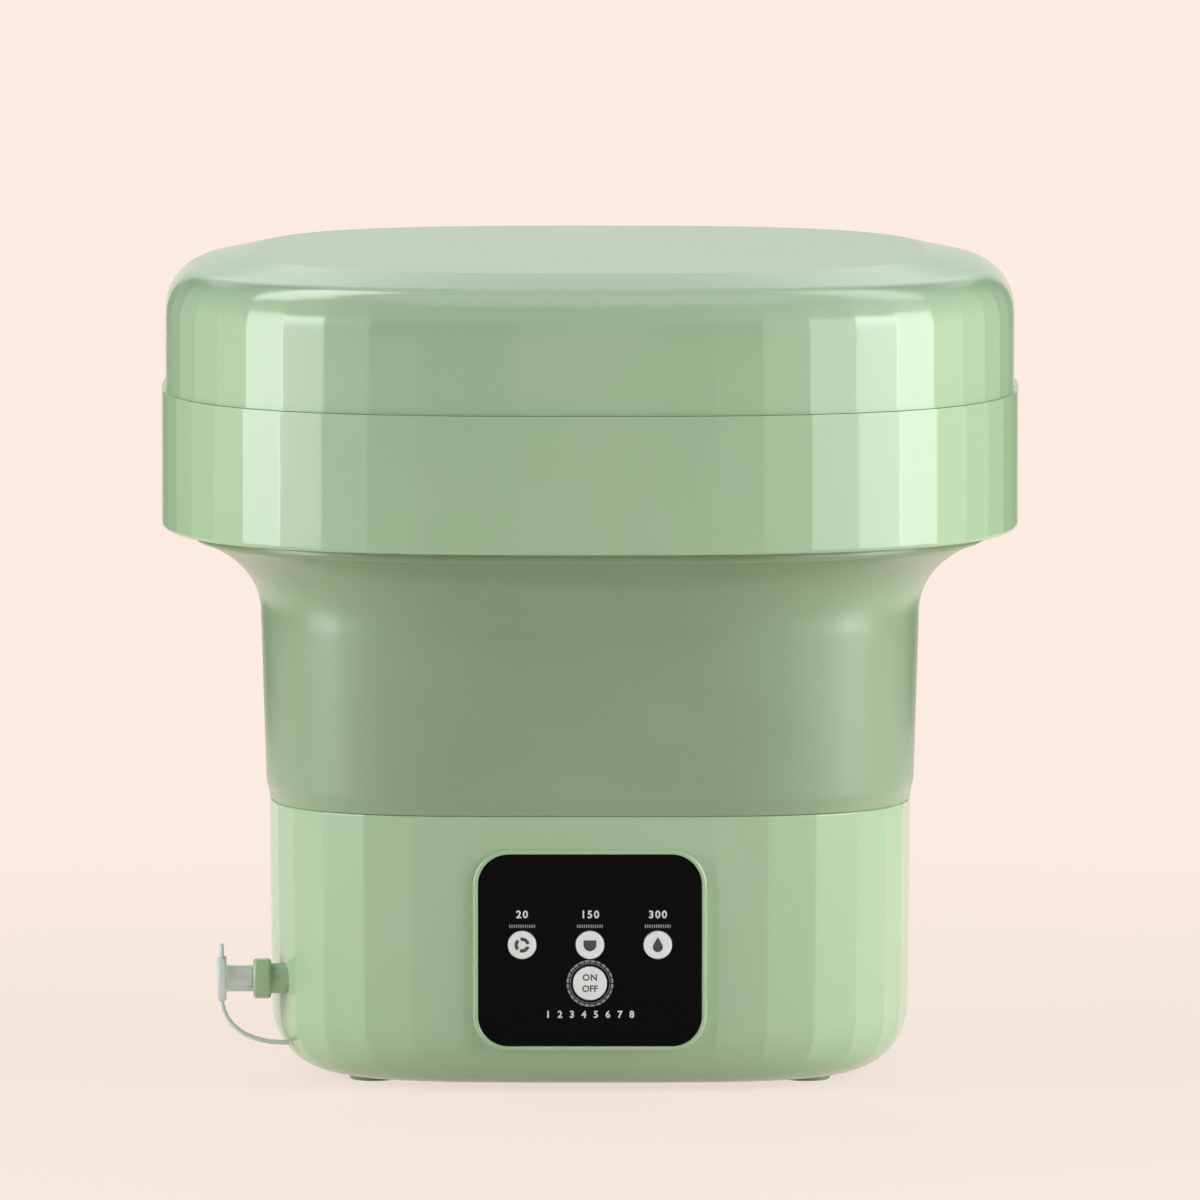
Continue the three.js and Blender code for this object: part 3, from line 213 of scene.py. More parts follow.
def skin(name, points, closed=True, capped=False):
    """Mesh over a grid of points, [row, column, xyz], whose columns run round. The last row joins the
    first if closed, and the two end rows are filled if capped. Rows at one point close to a pole."""
    rows, columns = points.shape[:2]
    index = np.arange(rows * columns).reshape(rows, columns)
    index = np.concatenate([index, index[:, :1]], 1)
    if closed:
        index = np.concatenate([index, index[:1]])
    faces = np.stack([index[:-1, :-1], index[:-1, 1:], index[1:, 1:], index[1:, :-1]], -1)
    faces = faces.reshape(-1, 4).tolist()
    if capped:
        faces += [index[0, :-1].tolist(), index[-1, :-1].tolist()]
    mesh = bpy.data.meshes.new(name)
    mesh.from_pydata(points.reshape(-1, 3).tolist(), [], faces)
    work = bmesh.new()
    work.from_mesh(mesh)
    bmesh.ops.remove_doubles(work, verts=work.verts, dist=weld)
    bmesh.ops.recalc_face_normals(work, faces=work.faces)
    work.to_mesh(mesh)
    work.free()
    mesh.shade_smooth()
    piece = bpy.data.objects.new(name, mesh)
    bpy.context.scene.collection.objects.link(piece)
    return piece


def moulding(name, profile, plan, flatness):
    """Closed skin of a rounded-square moulding. Each profile point [half width, height] is a ring, and
    the flatness of each ring and column mixes the flat plan with the round one."""
    flat, smooth, _ = plan
    mix = flatness[..., None]
    rings = profile[:, None, :1] * (mix * flat + (1 - mix) * smooth)
    heights = np.broadcast_to(profile[:, None, 1:], rings.shape[:2] + (1,))
    return skin(name, np.concatenate([rings, heights], -1))


def smoothstep(low, high, value):
    """Eases from 0 at low to 1 at high."""
    share = np.clip((value - low) / (high - low), 0, 1)
    return share * share * (3 - 2 * share)


def carve(piece, *cutters):
    """Cuts the cutters out of the piece and keeps the result as its mesh."""
    for cutter in cutters:
        change = piece.modifiers.new("cut", "BOOLEAN")
        change.object = cutter
        change.solver = "EXACT"
    bpy.context.view_layer.update()
    graph = bpy.context.evaluated_depsgraph_get()
    piece.data = bpy.data.meshes.new_from_object(piece.evaluated_get(graph))
    piece.modifiers.clear()
    for cutter in cutters:
        bpy.data.objects.remove(cutter)
    return piece


crisp_edge = math.radians(40)


def fitted(piece, material, body, slot, *nodes):
    """Gives a hard piece its material, its crisp edges and its body, and hides the CAD nodes that it stands
    for.
    """
    piece.data.materials.clear()
    piece.data.materials.append(material)
    piece.data.set_sharp_from_angle(angle=crisp_edge)
    weighted = piece.modifiers.new("weighted_normals", "WEIGHTED_NORMAL")
    weighted.keep_sharp = True
    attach(piece, body)
    if nodes:
        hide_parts(*nodes)
    return piece


def turned(profile, sides=64):
    """Points of a piece turned about the upright axis from its profile."""
    turn = np.linspace(0, 2 * np.pi, sides, endpoint=False)
    spokes = np.stack([np.cos(turn), np.sin(turn), 0 * turn], -1)
    rings = profile[:, None, :1] * spokes[None]
    rings[..., 2] = profile[:, 1:]
    return rings


# Turns from lying flat to facing the front, the left and the back
to_front = np.array([[1, 0, 0], [0, 0, 1], [0, -1, 0]])
to_left = np.array([[0, 0, 1], [0, 1, 0], [-1, 0, 0]])
to_back = np.array([[1, 0, 0], [0, 0, -1], [0, 1, 0]])


def rounded_rings(width, height, corner, profile, sides=12):
    """Rings round a rectangle with round corners, lying flat. Each profile point is [how far outside
    the rectangle, height]."""
    turn = np.linspace(0, 0.5 * np.pi, sides)
    turn = np.concatenate([turn + quarter * 0.5 * np.pi for quarter in range(4)])
    across = np.repeat([1, -1, -1, 1], sides) * (width / 2 - corner)
    up = np.repeat([1, 1, -1, -1], sides) * (height / 2 - corner)
    bend = corner + profile[:, None, 0]
    return np.stack([across + bend * np.cos(turn), up + bend * np.sin(turn),
                     np.broadcast_to(profile[:, None, 1], bend.shape[:1] + turn.shape)], -1)


def straight(*levels):
    """Profile of plain pieces: [how far out, height] in millimetres."""
    return np.array(levels, float) * mm


base_power = 3.7
base_facets = 44
base_plan = facets(base_power, base_facets)
base_profile = eased([
    [69.1, 2, 0.4], [114.85, 2, 22], [116, 100, 0.6], [113.4, 100, 0.3],
    [112.5, 7, 15], [64.1, 7, 0.3], [64.1, 4.6, 0.3], [69.1, 4.6, 0.3],
], 10)
# The facets run out on the foot's rounding, a little higher at their corners than at their middles
facet_foot = 10.5 * mm
facet_full = 14.5 * mm
facet_sag = 1.2 * mm
base_flatness = smoothstep(facet_foot, facet_full, base_profile[:, 1:] + facet_sag * base_plan[2])
panel_low, panel_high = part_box("control_panel")
panel_middle = np.array([0, 0, (panel_low.z + panel_high.z) / 2])
rim_across = 1.7 * mm
rim_up = 0.9 * mm
panel_width = panel_high.x - panel_low.x - rim_across
panel_height = panel_high.z - panel_low.z - rim_up
panel_corner = 10.8 * mm
window_edge = 6 * mm
window_corner = 9 * mm
spout_low, spout_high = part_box("spout_ring")
spout_axis = np.array([0, (spout_low.y + spout_high.y) / 2, (spout_low.z + spout_high.z) / 2])
inlet_low, inlet_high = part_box("power_inlet")
inlet_axis = np.array([(inlet_low.x + inlet_high.x) / 2, 0, (inlet_low.z + inlet_high.z) / 2])

base_shell = moulding("base_shell_moulding", base_profile, base_plan, base_flatness)
carve(
    base_shell,
    skin("window_cutter", rounded_rings(panel_width - window_edge, panel_height - window_edge, window_corner,
         straight([0, 95], [0, 125])) @ to_front + panel_middle, False, True),
    skin("pocket_cutter", rounded_rings(panel_width, panel_height, panel_corner,
         straight([0.6, 114.6], [0.6, 125])) @ to_front + panel_middle, False, True),
    skin("spout_cutter", turned(straight([5.6, 80], [5.6, 125])) @ to_left + spout_axis, False, True),
    skin("inlet_cutter", turned(straight([5.7, 90], [5.7, 125])) @ to_back + inlet_axis, False, True),
)
fitted(base_shell, abs_green, "base", "housing", "base_shell")

# Raised rim of the base round the panel, with its edge rounded over
rim_profile = eased([[0.15, 110, 0.1], [1.8, 110, 0.1], [1.8, 117, 0.8], [0.15, 117, 0.5]])
panel_rim = skin("panel_rim", rounded_rings(
    panel_width, panel_height, panel_corner, rim_profile, 16) @ to_front + panel_middle)
fitted(panel_rim, abs_green, "base", "housing")

# Floor of the panel's pocket, which the panel is glued to
pocket = skin("panel_pocket", rounded_rings(
    panel_width, panel_height, panel_corner,
    eased([[-5, 111.5, 0.2], [0.8, 111.5, 0.2], [0.8, 114.6, 0.2], [-5, 114.6, 0.2]], 2), 16,
) @ to_front + panel_middle)
fitted(pocket, abs_green, "base", "housing")


# Control panel: a plate of black acrylic set into the rim, with a hole for each button. Its marks are
# silk-screened: plain numbers, a scale under them and a ring of dashes round the start button.

# Black acrylic: nearly no colour of its own, so it shows only what it mirrors
acrylic_black, tree, shader, place = stuff("acrylic_black", "#050506", 0.12, 1.49)
shader.inputs["Specular IOR Level"].default_value = 0.06
smears = node(tree, "TexNoise", {"Vector": place, "Scale": 1 / (30 * mm), "Detail": 3.0})
smear_range = node(tree, "MapRange", {"Value": smears.outputs["Fac"], "To Min": 0.08, "To Max": 0.16})
tree.links.new(smear_range.outputs["Result"], shader.inputs["Roughness"])

# Screen ink: a matt film, white for the numbers, grey for the scales and dark for the buttons' marks
ink_white, tree, shader, place = stuff("screen_ink_white", "#dfe2e1", 0.6)
tinted(tree, shader, place, 2 * mm, "#d4d8d7", "#e9ebea")
ink_grey, tree, shader, place = stuff("screen_ink_grey", "#8a8e8d", 0.6)
tinted(tree, shader, place, 2 * mm, "#7f8382", "#979b9a")
ink_dark, tree, shader, place = stuff("screen_ink_dark", "#3b4140", 0.6)
tinted(tree, shader, place, 2 * mm, "#343a39", "#454b4a")

panel_face = -panel_low.y
cap_flange = 0.85 * mm
button_play = 0.3 * mm
buttons = [
    ("mode_button_1", "mode_cap_1"), ("mode_button_2", "mode_cap_2"),
    ("mode_button_3", "mode_cap_3"), ("start_button", "start_cap"),
]


def button_place(name):
    """Middle of a button's axis, at the machine's middle, and the radius of its face."""
    low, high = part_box(name)
    return np.array([(low.x + high.x) / 2, 0, (low.z + high.z) / 2]), (high.x - low.x) / 2 - cap_flange


panel_edge = [0, panel_face] + straight([-0.2, -2], [0, -1.7], [0, -0.4], [-0.12, -0.12], [-0.4, 0])
panel = skin("panel_plate", rounded_rings(
    panel_width, panel_height, panel_corner, panel_edge, 16) @ to_front + panel_middle, False, True)
hole_cutters = []
for name, _ in buttons:
    middle, radius = button_place(name)
    hole = [radius + button_play, panel_face] + straight([0, -5], [0, -0.25], [0.25, 0], [1.5, 1.25])
    hole_cutters.append(skin("hole_cutter", turned(hole) @ to_front + middle, False, True))
carve(panel, *hole_cutters)
fitted(panel, acrylic_black, "base", "panel_black", "control_panel")

ink_thickness = 0.03 * mm
ink_gap = 0.01 * mm


def sheet_of(name, outlines, place):
    """Thin film in the shape of flat outlines, [x, y] in millimetres, standing on the panel's side."""
    mesh = bpy.data.meshes.new(name)
    counts = np.cumsum([0] + [len(line) for line in outlines])
    points = np.concatenate([np.asarray(line, float) for line in outlines]) * mm
    points = np.concatenate([points, np.zeros((len(points), 1))], 1) @ to_front + place
    faces = [list(range(a, b)) for a, b in zip(counts[:-1], counts[1:])]
    mesh.from_pydata(points.tolist(), [], faces)
    piece = bpy.data.objects.new(name, mesh)
    bpy.context.scene.collection.objects.link(piece)
    film = piece.modifiers.new("film", "SOLIDIFY")
    film.thickness = ink_thickness
    film.offset = 1
    return piece


def printed(piece, material, body):
    """Gives a film of ink its material and its body."""
    piece.data.materials.append(material)
    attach(piece, body)


# Blender's own font is 1.4 times as large as its figures are tall
size_share = 1.4
bold_share = 0.035


def lettering(name, text, height, place, apart=1.25):
    """Letters of a given height in millimetres, centred on a place on the front. Their strokes are made a
    little bolder and as thick as ink, in shares of that height and in millimetres."""
    words = bpy.data.curves.new(name, "FONT")
    words.body = text
    words.size = height * mm * size_share
    words.align_x = "CENTER"
    words.align_y = "CENTER"
    words.space_character = apart
    words.space_word = apart
    words.offset = bold_share * height * mm
    words.extrude = ink_thickness / 2
    words.resolution_u = 3
    holder = bpy.data.objects.new(name, words)
    bpy.context.scene.collection.objects.link(holder)
    bpy.context.view_layer.update()
    graph = bpy.context.evaluated_depsgraph_get()
    mesh = bpy.data.meshes.new_from_object(holder.evaluated_get(graph))
    bpy.data.objects.remove(holder)
    points = np.empty(len(mesh.vertices) * 3)
    mesh.vertices.foreach_get("co", points)
    points = points.reshape(-1, 3) @ to_front + place
    mesh.vertices.foreach_set("co", points.ravel())
    mesh.update()
    piece = bpy.data.objects.new(name, mesh)
    bpy.context.scene.collection.objects.link(piece)
    return piece


def arc_band(inner, outer, start, end, steps=10):
    """Outline of a part of a flat ring, in millimetres and degrees."""
    turn = np.radians(np.linspace(start, end, steps))
    spoke = np.stack([np.cos(turn), np.sin(turn)], 1)
    return np.concatenate([outer * spoke, inner * spoke[::-1]])


# Marks over the mode buttons: a number, and a scale of ticks under it
ink_face = panel_face + ink_gap
number_up = 5.8 * mm
scale_up = 1.7 * mm
tick = np.array([[-0.2, -0.6], [0.2, -0.6], [0.2, 0.6], [-0.2, 0.6]])
ticks = [tick + [x, 0] for x in np.linspace(-4.4, 4.4, 12)]
for (name, _), number in zip(buttons[:3], ("20", "150", "300")):
    middle, radius = button_place(name)
    above = middle + [0, -ink_face, radius]
    printed(lettering("number_" + name, number, 2.7, above + [0, 0, number_up]),
            ink_white, "base")
    printed(sheet_of("scale_" + name, ticks, above + [0, 0, scale_up]), ink_grey, "base")

# Marks of the start button: a ring of dashes with a fine line inside it, and a row of numbers below
start_middle, _ = button_place("start_button")
row_down = 11.3 * mm
dashes = [arc_band(7.6, 8.4, turn + 1.5, turn + 13.5, 5) for turn in range(0, 360, 15)]
dashes += [arc_band(7.0, 7.2, turn, turn + 29, 8) for turn in range(0, 360, 30)]
printed(sheet_of("start_ring", dashes, start_middle + [0, -ink_face, 0]), ink_grey, "base")
printed(lettering("number_row", "1 2 3 4 5 6 7 8", 2.5, start_middle + [0, -ink_face, -row_down], 1.35),
        ink_white, "base")


# Push buttons: white ABS caps with a flange behind the panel. The
# marks on their faces are printed in dark grey: a turning ring, a tub, a drop, and ON over OFF.

# White ABS: bright and even, and less glossy than the housing
abs_white, tree, shader, place = stuff("abs_white", "#f0f2f1", 0.35, 1.53)
tinted(tree, shader, place, 6 * mm, "#ecefee", "#f4f5f4")
grained(tree, shader, place, 3 * mm, 0.005 * mm)

button_face = -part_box("mode_button_1")[0].y
for name, body in buttons:
    middle, radius = button_place(name)
    low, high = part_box(name)
    back = -high.y / mm
    front = -low.y / mm
    wide = radius / mm
    flange = wide + cap_flange / mm
    cap_profile = eased([[0, back, 0], [flange, back, 0.1], [flange, back + 0.8, 0.1],
                         [wide, back + 0.8, 0.1], [wide, front, 0.45], [0, front, 0]], 5)
    cap = skin(name + "_cap", turned(cap_profile) @ to_front + middle)
    fitted(cap, abs_white, body, "white_plastic", name)


def arc_line(radius, start, end, steps):
    """Points of an arc round the middle, in millimetres and degrees."""
    turn = np.radians(np.linspace(start, end, steps))
    return radius * np.stack([np.cos(turn), np.sin(turn)], 1)


# Outlines of the marks: three bent bars, a tub with a round bottom, and a drop
swirl = [arc_band(1.5, 2.7, turn, turn + 95, 12) for turn in (10, 130, 250)]
tub_mark = [np.concatenate([[[-2.3, 1.7], [-2.3, 0.1]], arc_line(2.3, 180, 360, 14) + [0, 0.1],
                            [[2.3, 0.1], [2.3, 1.7]]])]
drop = [np.concatenate([[[0, 2.9]], arc_line(1.8, -210, 30, 16) - [0, 0.7]])]
word_apart = 2 * mm
mark_face = button_face + ink_gap
for (name, body), outlines in zip(buttons[:3], (swirl, tub_mark, drop)):
    middle, _ = button_place(name)
    printed(sheet_of("mark_" + name, outlines, middle + [0, -mark_face, 0]), ink_dark, body)
printed(lettering("mark_on", "ON", 2.3, start_middle + [0, -mark_face, word_apart], 1.1),
        ink_dark, "start_cap")
printed(lettering("mark_off", "OFF", 2.3, start_middle + [0, -mark_face, -word_apart], 1.0),
        ink_dark, "start_cap")


# Switches and board behind the panel: four black tact switches soldered to a green glass-epoxy board,
# each with its plunger against a button's back.

def dressed(material, *names):
    """Gives CAD pieces that are shown as they are their material."""
    for name in names:
        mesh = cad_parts[name].data
        mesh.materials.clear()
        mesh.materials.append(material)


# Glass epoxy: green solder mask over copper tracks that show as slightly lighter lines
epoxy_board, tree, shader, place = stuff("glass_epoxy_green", "#20603a", 0.45, 1.55)
tracks = node(tree, "TexBrick", {
    "Vector": place, "Scale": 1 / (12 * mm), "Color1": linear("#1f5c38"), "Color2": linear("#23663f"),
    "Mortar": linear("#2f7a4c"), "Mortar Size": 0.04})
tree.links.new(tracks.outputs["Color"], shader.inputs["Base Color"])
# Glass-filled polyamide: black, slightly rough from the mould
polyamide_black, tree, shader, place = stuff("polyamide_black", "#1b1c1d", 0.5, 1.53)
tinted(tree, shader, place, 15 * mm, "#18191a", "#202122")
grained(tree, shader, place, 0.8 * mm, 0.02 * mm)

dressed(epoxy_board, "control_board")
dressed(polyamide_black, "tact_switch_1", "tact_switch_2", "tact_switch_3", "tact_switch_4")


# Bottom cover with its screws and feet: a vented ABS plate, held by zinc-plated screws, and rubber feet
# that are pushed into the base by their stems.

# Zinc-plated steel: cool grey, a little uneven in tone
steel, tree, shader, place = stuff("zinc_plated_steel", "#b9bcc0", 0.3, metallic=1.0)
tinted(tree, shader, place, 5 * mm, "#aeb1b5", "#c3c6c9")
grained(tree, shader, place, 0.6 * mm, 0.01 * mm)
# Grey rubber: matt and slightly dusty
rubber_grey, tree, shader, place = stuff("rubber_grey_green", "#b0c8a6", 0.75, 1.52)
tinted(tree, shader, place, 8 * mm, "#abc3a1", "#b5cdab")
grained(tree, shader, place, 0.7 * mm, 0.03 * mm)

dressed(abs_green, "bottom_cover")
for name in ("foot_1", "foot_2", "foot_3", "foot_4"):
    low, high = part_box(name)
    middle = np.array([(low.x + high.x) / 2, (low.y + high.y) / 2, 0])
    foot_profile = eased([[0, 0, 0], [8.5, 0, 1.2], [8.7, 1.9, 0.2], [2.5, 1.9, 0.1], [2.5, 7.2, 0.1],
                          [3.6, 7.2, 0.3], [1, 9.7, 0.4], [0, 9.7, 0]], 5)
    foot = skin(name + "_pad", turned(foot_profile, 48) + middle)
    fitted(foot, rubber_grey, "base", "grey_rubber", name)
dressed(steel, "cover_screw_1", "cover_screw_2", "cover_screw_3", "cover_screw_4")


# Wash tub, strainer and pulsator: the tub is moulded in the housing's ABS. The pulsator is a shallow
# dome with five swept vanes, moulded in white ABS and held on its shaft by one steel screw.

# Nylon: natural off-white with a waxy surface
nylon, tree, shader, place = stuff("nylon_natural", "#e8e6dc", 0.45, 1.53)
tinted(tree, shader, place, 10 * mm, "#e3e0d4", "#edebe3")
grained(tree, shader, place, 1.5 * mm, 0.01 * mm)
dressed(abs_green, "wash_tub")
dressed(nylon, "drain_strainer")

pulsator_low, pulsator_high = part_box("pulsator")
pulsator_radius = pulsator_high.x
pulsator_rim = pulsator_low.z + 3 * mm
dome_rise = 15 * mm
vane_rise = 9 * mm
vane_count = 5
vane_sweep = math.radians(38)
screw_hole = 5.6 * mm
pulsator_sides = 320


def dome(share):
    """Rings of the pulsator's top at shares of its radius. Its height falls off with the square of the
    radius. Each vane is a squared cosine round it, which swings round with the radius and dies out at
    the rim and at the middle."""
    turn = np.linspace(0, 2 * np.pi, pulsator_sides, endpoint=False)[None]
    share = share[:, None]
    crest = np.clip(np.cos(vane_count * (turn - share * vane_sweep)), 0, None) ** 2
    vane = vane_rise * crest * np.sin(np.pi * share ** 1.3) * smoothstep(0.08, 0.2, share)
    height = pulsator_rim + dome_rise * (1 - share ** 2) + vane
    out = pulsator_radius * share
    return np.stack([out * np.cos(turn), out * np.sin(turn), height], -1)


# Its rim, then the dome, then the screw's recess, the hub on the shaft and the underside
rim_rings = np.array([pulsator_radius, pulsator_low.z]) + straight([-0.3, 0], [0, 0.3], [0, 2.6])
hole_rings = straight([5.6, 80.2], [2.3, 80.2], [2.3, 80.05], [4.3, 80], [4.3, 71.5], [8, 71.5],
                      [8.3, 79.2], [39, 75.4], [58, 69.5], [75, 64.6])
pulsator = skin("pulsator_moulding", np.concatenate([
    turned(rim_rings, pulsator_sides),
    dome(np.linspace(0.995, screw_hole / pulsator_radius, 60)),
    turned(hole_rings, pulsator_sides),
]))
fitted(pulsator, abs_white, "pulsator", "white_plastic", "pulsator")

# Its screw: a turned pan head with a round socket, on a plain shank
head_profile = eased([[0, 68.05, 0], [1.95, 68.05, 0.2], [1.95, 80.45, 0.1], [5, 80.45, 0.2], [5, 82.9, 1],
                      [1.7, 82.9, 0.2], [1.3, 81.5, 0.2], [0, 81.5, 0]], 6)
fitted(skin("pulsator_screw_head", turned(head_profile)), steel, "pulsator", "steel", "pulsator_screw")


# Drive: a drawn steel motor can screwed under a gearbox of black polyamide. Its nylon gears turn on
# steel shafts, in ball bearings with a rubber seal over them.

# Motor can: drawn steel with a dull zinc coat
motor_steel, tree, shader, place = stuff("drawn_steel", "#7c7f84", 0.42, metallic=1.0)
tinted(tree, shader, place, 12 * mm, "#74777c", "#85888c")
grained(tree, shader, place, 1.2 * mm, 0.02 * mm)
dressed(polyamide_black, "gearbox_housing", "gearbox_cover")
dressed(nylon, "output_gear", "motor_pinion")
dressed(steel, "drive_shaft", "motor_shaft", "lower_bearing", "upper_bearing",
        "gearbox_screw_1", "gearbox_screw_2", "gearbox_screw_3", "gearbox_screw_4")
dressed(motor_steel, "motor_can")
dressed(rubber_grey, "shaft_seal")


# Drain: an ABS neck and ring out of the base's side, closed by a clear silicone plug on a strap. Inside,
# a silicone elbow brings the water from the tub's outlet.

# Clear silicone: milky and slightly green, with light through it
silicone, tree, shader, place = stuff("silicone_clear", "#eef5f3", 0.32, 1.41)
shader.inputs["Transmission Weight"].default_value = 0.35
tinted(tree, shader, place, 12 * mm, "#e9f2f0", "#f3f8f6")
grained(tree, shader, place, 4 * mm, 0.02 * mm)

neck_profile = eased([[3.9, 97, 0.2], [5.45, 97, 0.2], [5.45, 120.6, 0.3], [3.9, 120.6, 0.3]])
neck = skin("drain_neck", turned(neck_profile) @ to_left + spout_axis)
fitted(neck, abs_green, "base", "housing", "drain_spout")
ring_back = -spout_high.x / mm
ring_front = -spout_low.x / mm
ring_profile = eased([[5.7, ring_back, 0.2], [7.25, ring_back, 1.3], [7.25, ring_front, 1.3],
                      [5.7, ring_front, 0.2]], 8)
drain_ring = skin("drain_ring", turned(ring_profile) @ to_left + spout_axis)
fitted(drain_ring, abs_green, "base", "housing", "spout_ring")

plug_profile = eased([
    [0, 115.5, 0], [3.4, 115.5, 0.5], [3.6, 121.5, 0.1], [4.7, 121.5, 0.2], [4.7, 129.8, 0.2],
    [4.95, 130.9, 0.1], [8.15, 130.9, 0.8], [8.15, 134.25, 1.2], [0, 134.25, 0],
], 6)
plug = skin("plug_body", turned(plug_profile) @ to_left + spout_axis)
fitted(plug, silicone, "plug", "clear_silicone", "drain_plug")


def flat_oval(sides, power):
    """Section of a flattened bar, one unit from middle to side: a cosine across and a sine through, each
    with its size raised to a power below one, which squares the corners."""
    turn = np.linspace(0, 2 * np.pi, sides, endpoint=False)
    return [np.sign(wave) * abs(wave) ** power for wave in (np.cos(turn), np.sin(turn))]


def pull_tab(rows=14, sides=24):
    """Surface of the plug's tab. It rises straight up from the disc and narrows evenly, and over the last
    fifth its half width follows an ellipse, so that it ends round."""
    rise = np.linspace(0, 1, rows)[:, None]
    round_from = 0.82
    round_reach_squared = 0.0327
    ellipse = np.sqrt(np.clip(1 - (rise - round_from) ** 2 / round_reach_squared, 0.02, 1))
    half = (3.5 - 1.4 * rise) * mm * np.where(rise > round_from, ellipse, 1)
    thick = (1.05 - 0.35 * rise) * mm
    height = spout_axis[2] + (5 + 7.6 * rise) * mm
    across, through = flat_oval(sides, 0.6)
    return np.stack([tab_out + thick * through, spout_axis[1] + half * across,
                     np.broadcast_to(height, (rows, sides))], -1)


# Pull tab of the plug, which narrows upwards from the disc
tab_out = -132.6 * mm
tab = skin("plug_tab", pull_tab(), False, True)
fitted(tab, silicone, "plug", "clear_silicone")

# Strap from the foot of the disc to the base's lower side
strap_line = straight([-132.5, 28.8], [-131.5, 19], [-122, 13.4], [-108.6, 13.9])
strap_half_width = 2.5 * mm
strap_half_thickness = 0.75 * mm


def plug_strap(rows=49, sides=20):
    """Surface of the strap: a flattened oval carried along a smooth curve with two leading points, and
    kept square to it."""
    share = np.linspace(0, 1, rows)[:, None]
    weights = [(1 - share) ** 3, 3 * (1 - share) ** 2 * share, 3 * (1 - share) * share ** 2, share ** 3]
    path = sum(weight * point for weight, point in zip(weights, strap_line))
    along = np.gradient(path, axis=0)
    along /= np.linalg.norm(along, axis=1, keepdims=True)
    side = np.stack([-along[:, 1], along[:, 0]], 1)
    across, through = flat_oval(sides, 0.5)
    flat = path[:, None] + side[:, None] * strap_half_thickness * through[None, :, None]
    width = np.broadcast_to(spout_axis[1] + strap_half_width * across, (rows, sides))
    return np.stack([flat[..., 0], width, flat[..., 1]], -1)


strap = skin("plug_strap", plug_strap(), False, True)
strap.data.materials.append(silicone)
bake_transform(strap)
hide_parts("plug_tether")
dressed(silicone, "drain_elbow")


# Power inlet: a black polyamide barrel socket in the back of the base, held by a steel nut inside, and
# the two leads from the board.

inlet_front = inlet_high.y / mm
inlet_profile = eased([
    [0, 102.5, 0], [5.5, 102.5, 0.3], [5.5, 116.3, 0.1], [7.6, 116.3, 0.2], [7.6, inlet_front, 0.6],
    [3.2, inlet_front, 0.3], [3.2, inlet_front - 9.5, 0.2], [1.05, inlet_front - 9.5, 0.1],
    [1.05, inlet_front - 2, 0.4], [0, inlet_front - 2, 0],
], 5)
inlet = skin("inlet_socket", turned(inlet_profile) @ to_back + inlet_axis)
fitted(inlet, polyamide_black, "base", "black_plastic", "power_inlet")
dressed(steel, "inlet_nut")
dressed(polyamide_black, "inlet_lead", "motor_lead")


# Soft folding wall: one moulding in green TPE. It rises from the base almost upright and flares out
# under the collar, and its lip shows below the collar's edge.

# TPE: the housing's green in a softer and more olive shade, with a satin skin
tpe_green, tree, shader, place = stuff("tpe_sage_satin", "#90a683", 0.26, 1.5)
tinted(tree, shader, place, 60 * mm, "#8ea481", "#92a885")
grained(tree, shader, place, 1.2 * mm, 0.01 * mm)


def bow(start, bend, end, steps=16):
    """Smooth curve between two profile points, led by a third, in millimetres."""
    share = np.linspace(0, 1, steps)[:, None]
    start, bend, end = (np.array(point, float) * mm for point in (start, bend, end))
    return (1 - share) ** 2 * start + 2 * (1 - share) * share * bend + share ** 2 * end


def upright(start, end, steps=24):
    """Even points of a straight profile piece, in millimetres."""
    share = np.linspace(0, 1, steps)[:, None]
    return np.array(start, float) * mm * (1 - share) + np.array(end, float) * mm * share


wall_profile = np.concatenate([
    straight([115.5, 100.06], [115.8, 100.1], [115.95, 100.3]),
    bow([116, 100.6], [116.4, 103], [117.1, 105.5], 6),
    upright([117.13, 106], [119, 165]),
    bow([119, 166], [119, 183.3], [142, 192.8]),
    straight([143.3, 193], [143.75, 193.3], [143.9, 193.9], [143.9, 195.8], [143.75, 196.25], [143.3, 196.4]),
    straight([142, 196.4], [142, 201.8], [150.9, 201.8], [150.9, 204.3], [139.8, 204.3]),
    bow([139.8, 194.3], [116.8, 184.8], [116.8, 166]),
    upright([116.8, 165], [114.8, 111]),
    straight([113.2, 108.2], [113.2, 102.6], [115.2, 102.6], [115.2, 100.06]),
])
collar_power = 2.8
flare_foot = 166 * mm
flare_top = 192.8 * mm


def soft_wall():
    """Surface of the soft wall: each profile point is a rounded square, whose power eases from the base's
    to the collar's over the height of the flare."""
    turn = np.linspace(0, 2 * np.pi, 360, endpoint=False)
    flare = smoothstep(flare_foot, flare_top, wall_profile[:, 1:])
    power = base_power + (collar_power - base_power) * flare
    rings = wall_profile[:, None, :1] * ring_of(power, turn[None])
    heights = np.broadcast_to(wall_profile[:, None, 1:], rings.shape[:2] + (1,))
    return np.concatenate([rings, heights], -1)


wall_crisp_edge = math.radians(50)
wall = skin("soft_wall", soft_wall())
wall.data.set_sharp_from_angle(angle=wall_crisp_edge)
wall.data.materials.append(tpe_green)
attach(wall, "base")
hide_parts("folding_wall")
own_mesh(wall)


# Collar: a wide faceted ABS ring. A shelf inside its foot holds the soft wall, which a clamp ring
# presses down, and a land at its mouth carries the lid.

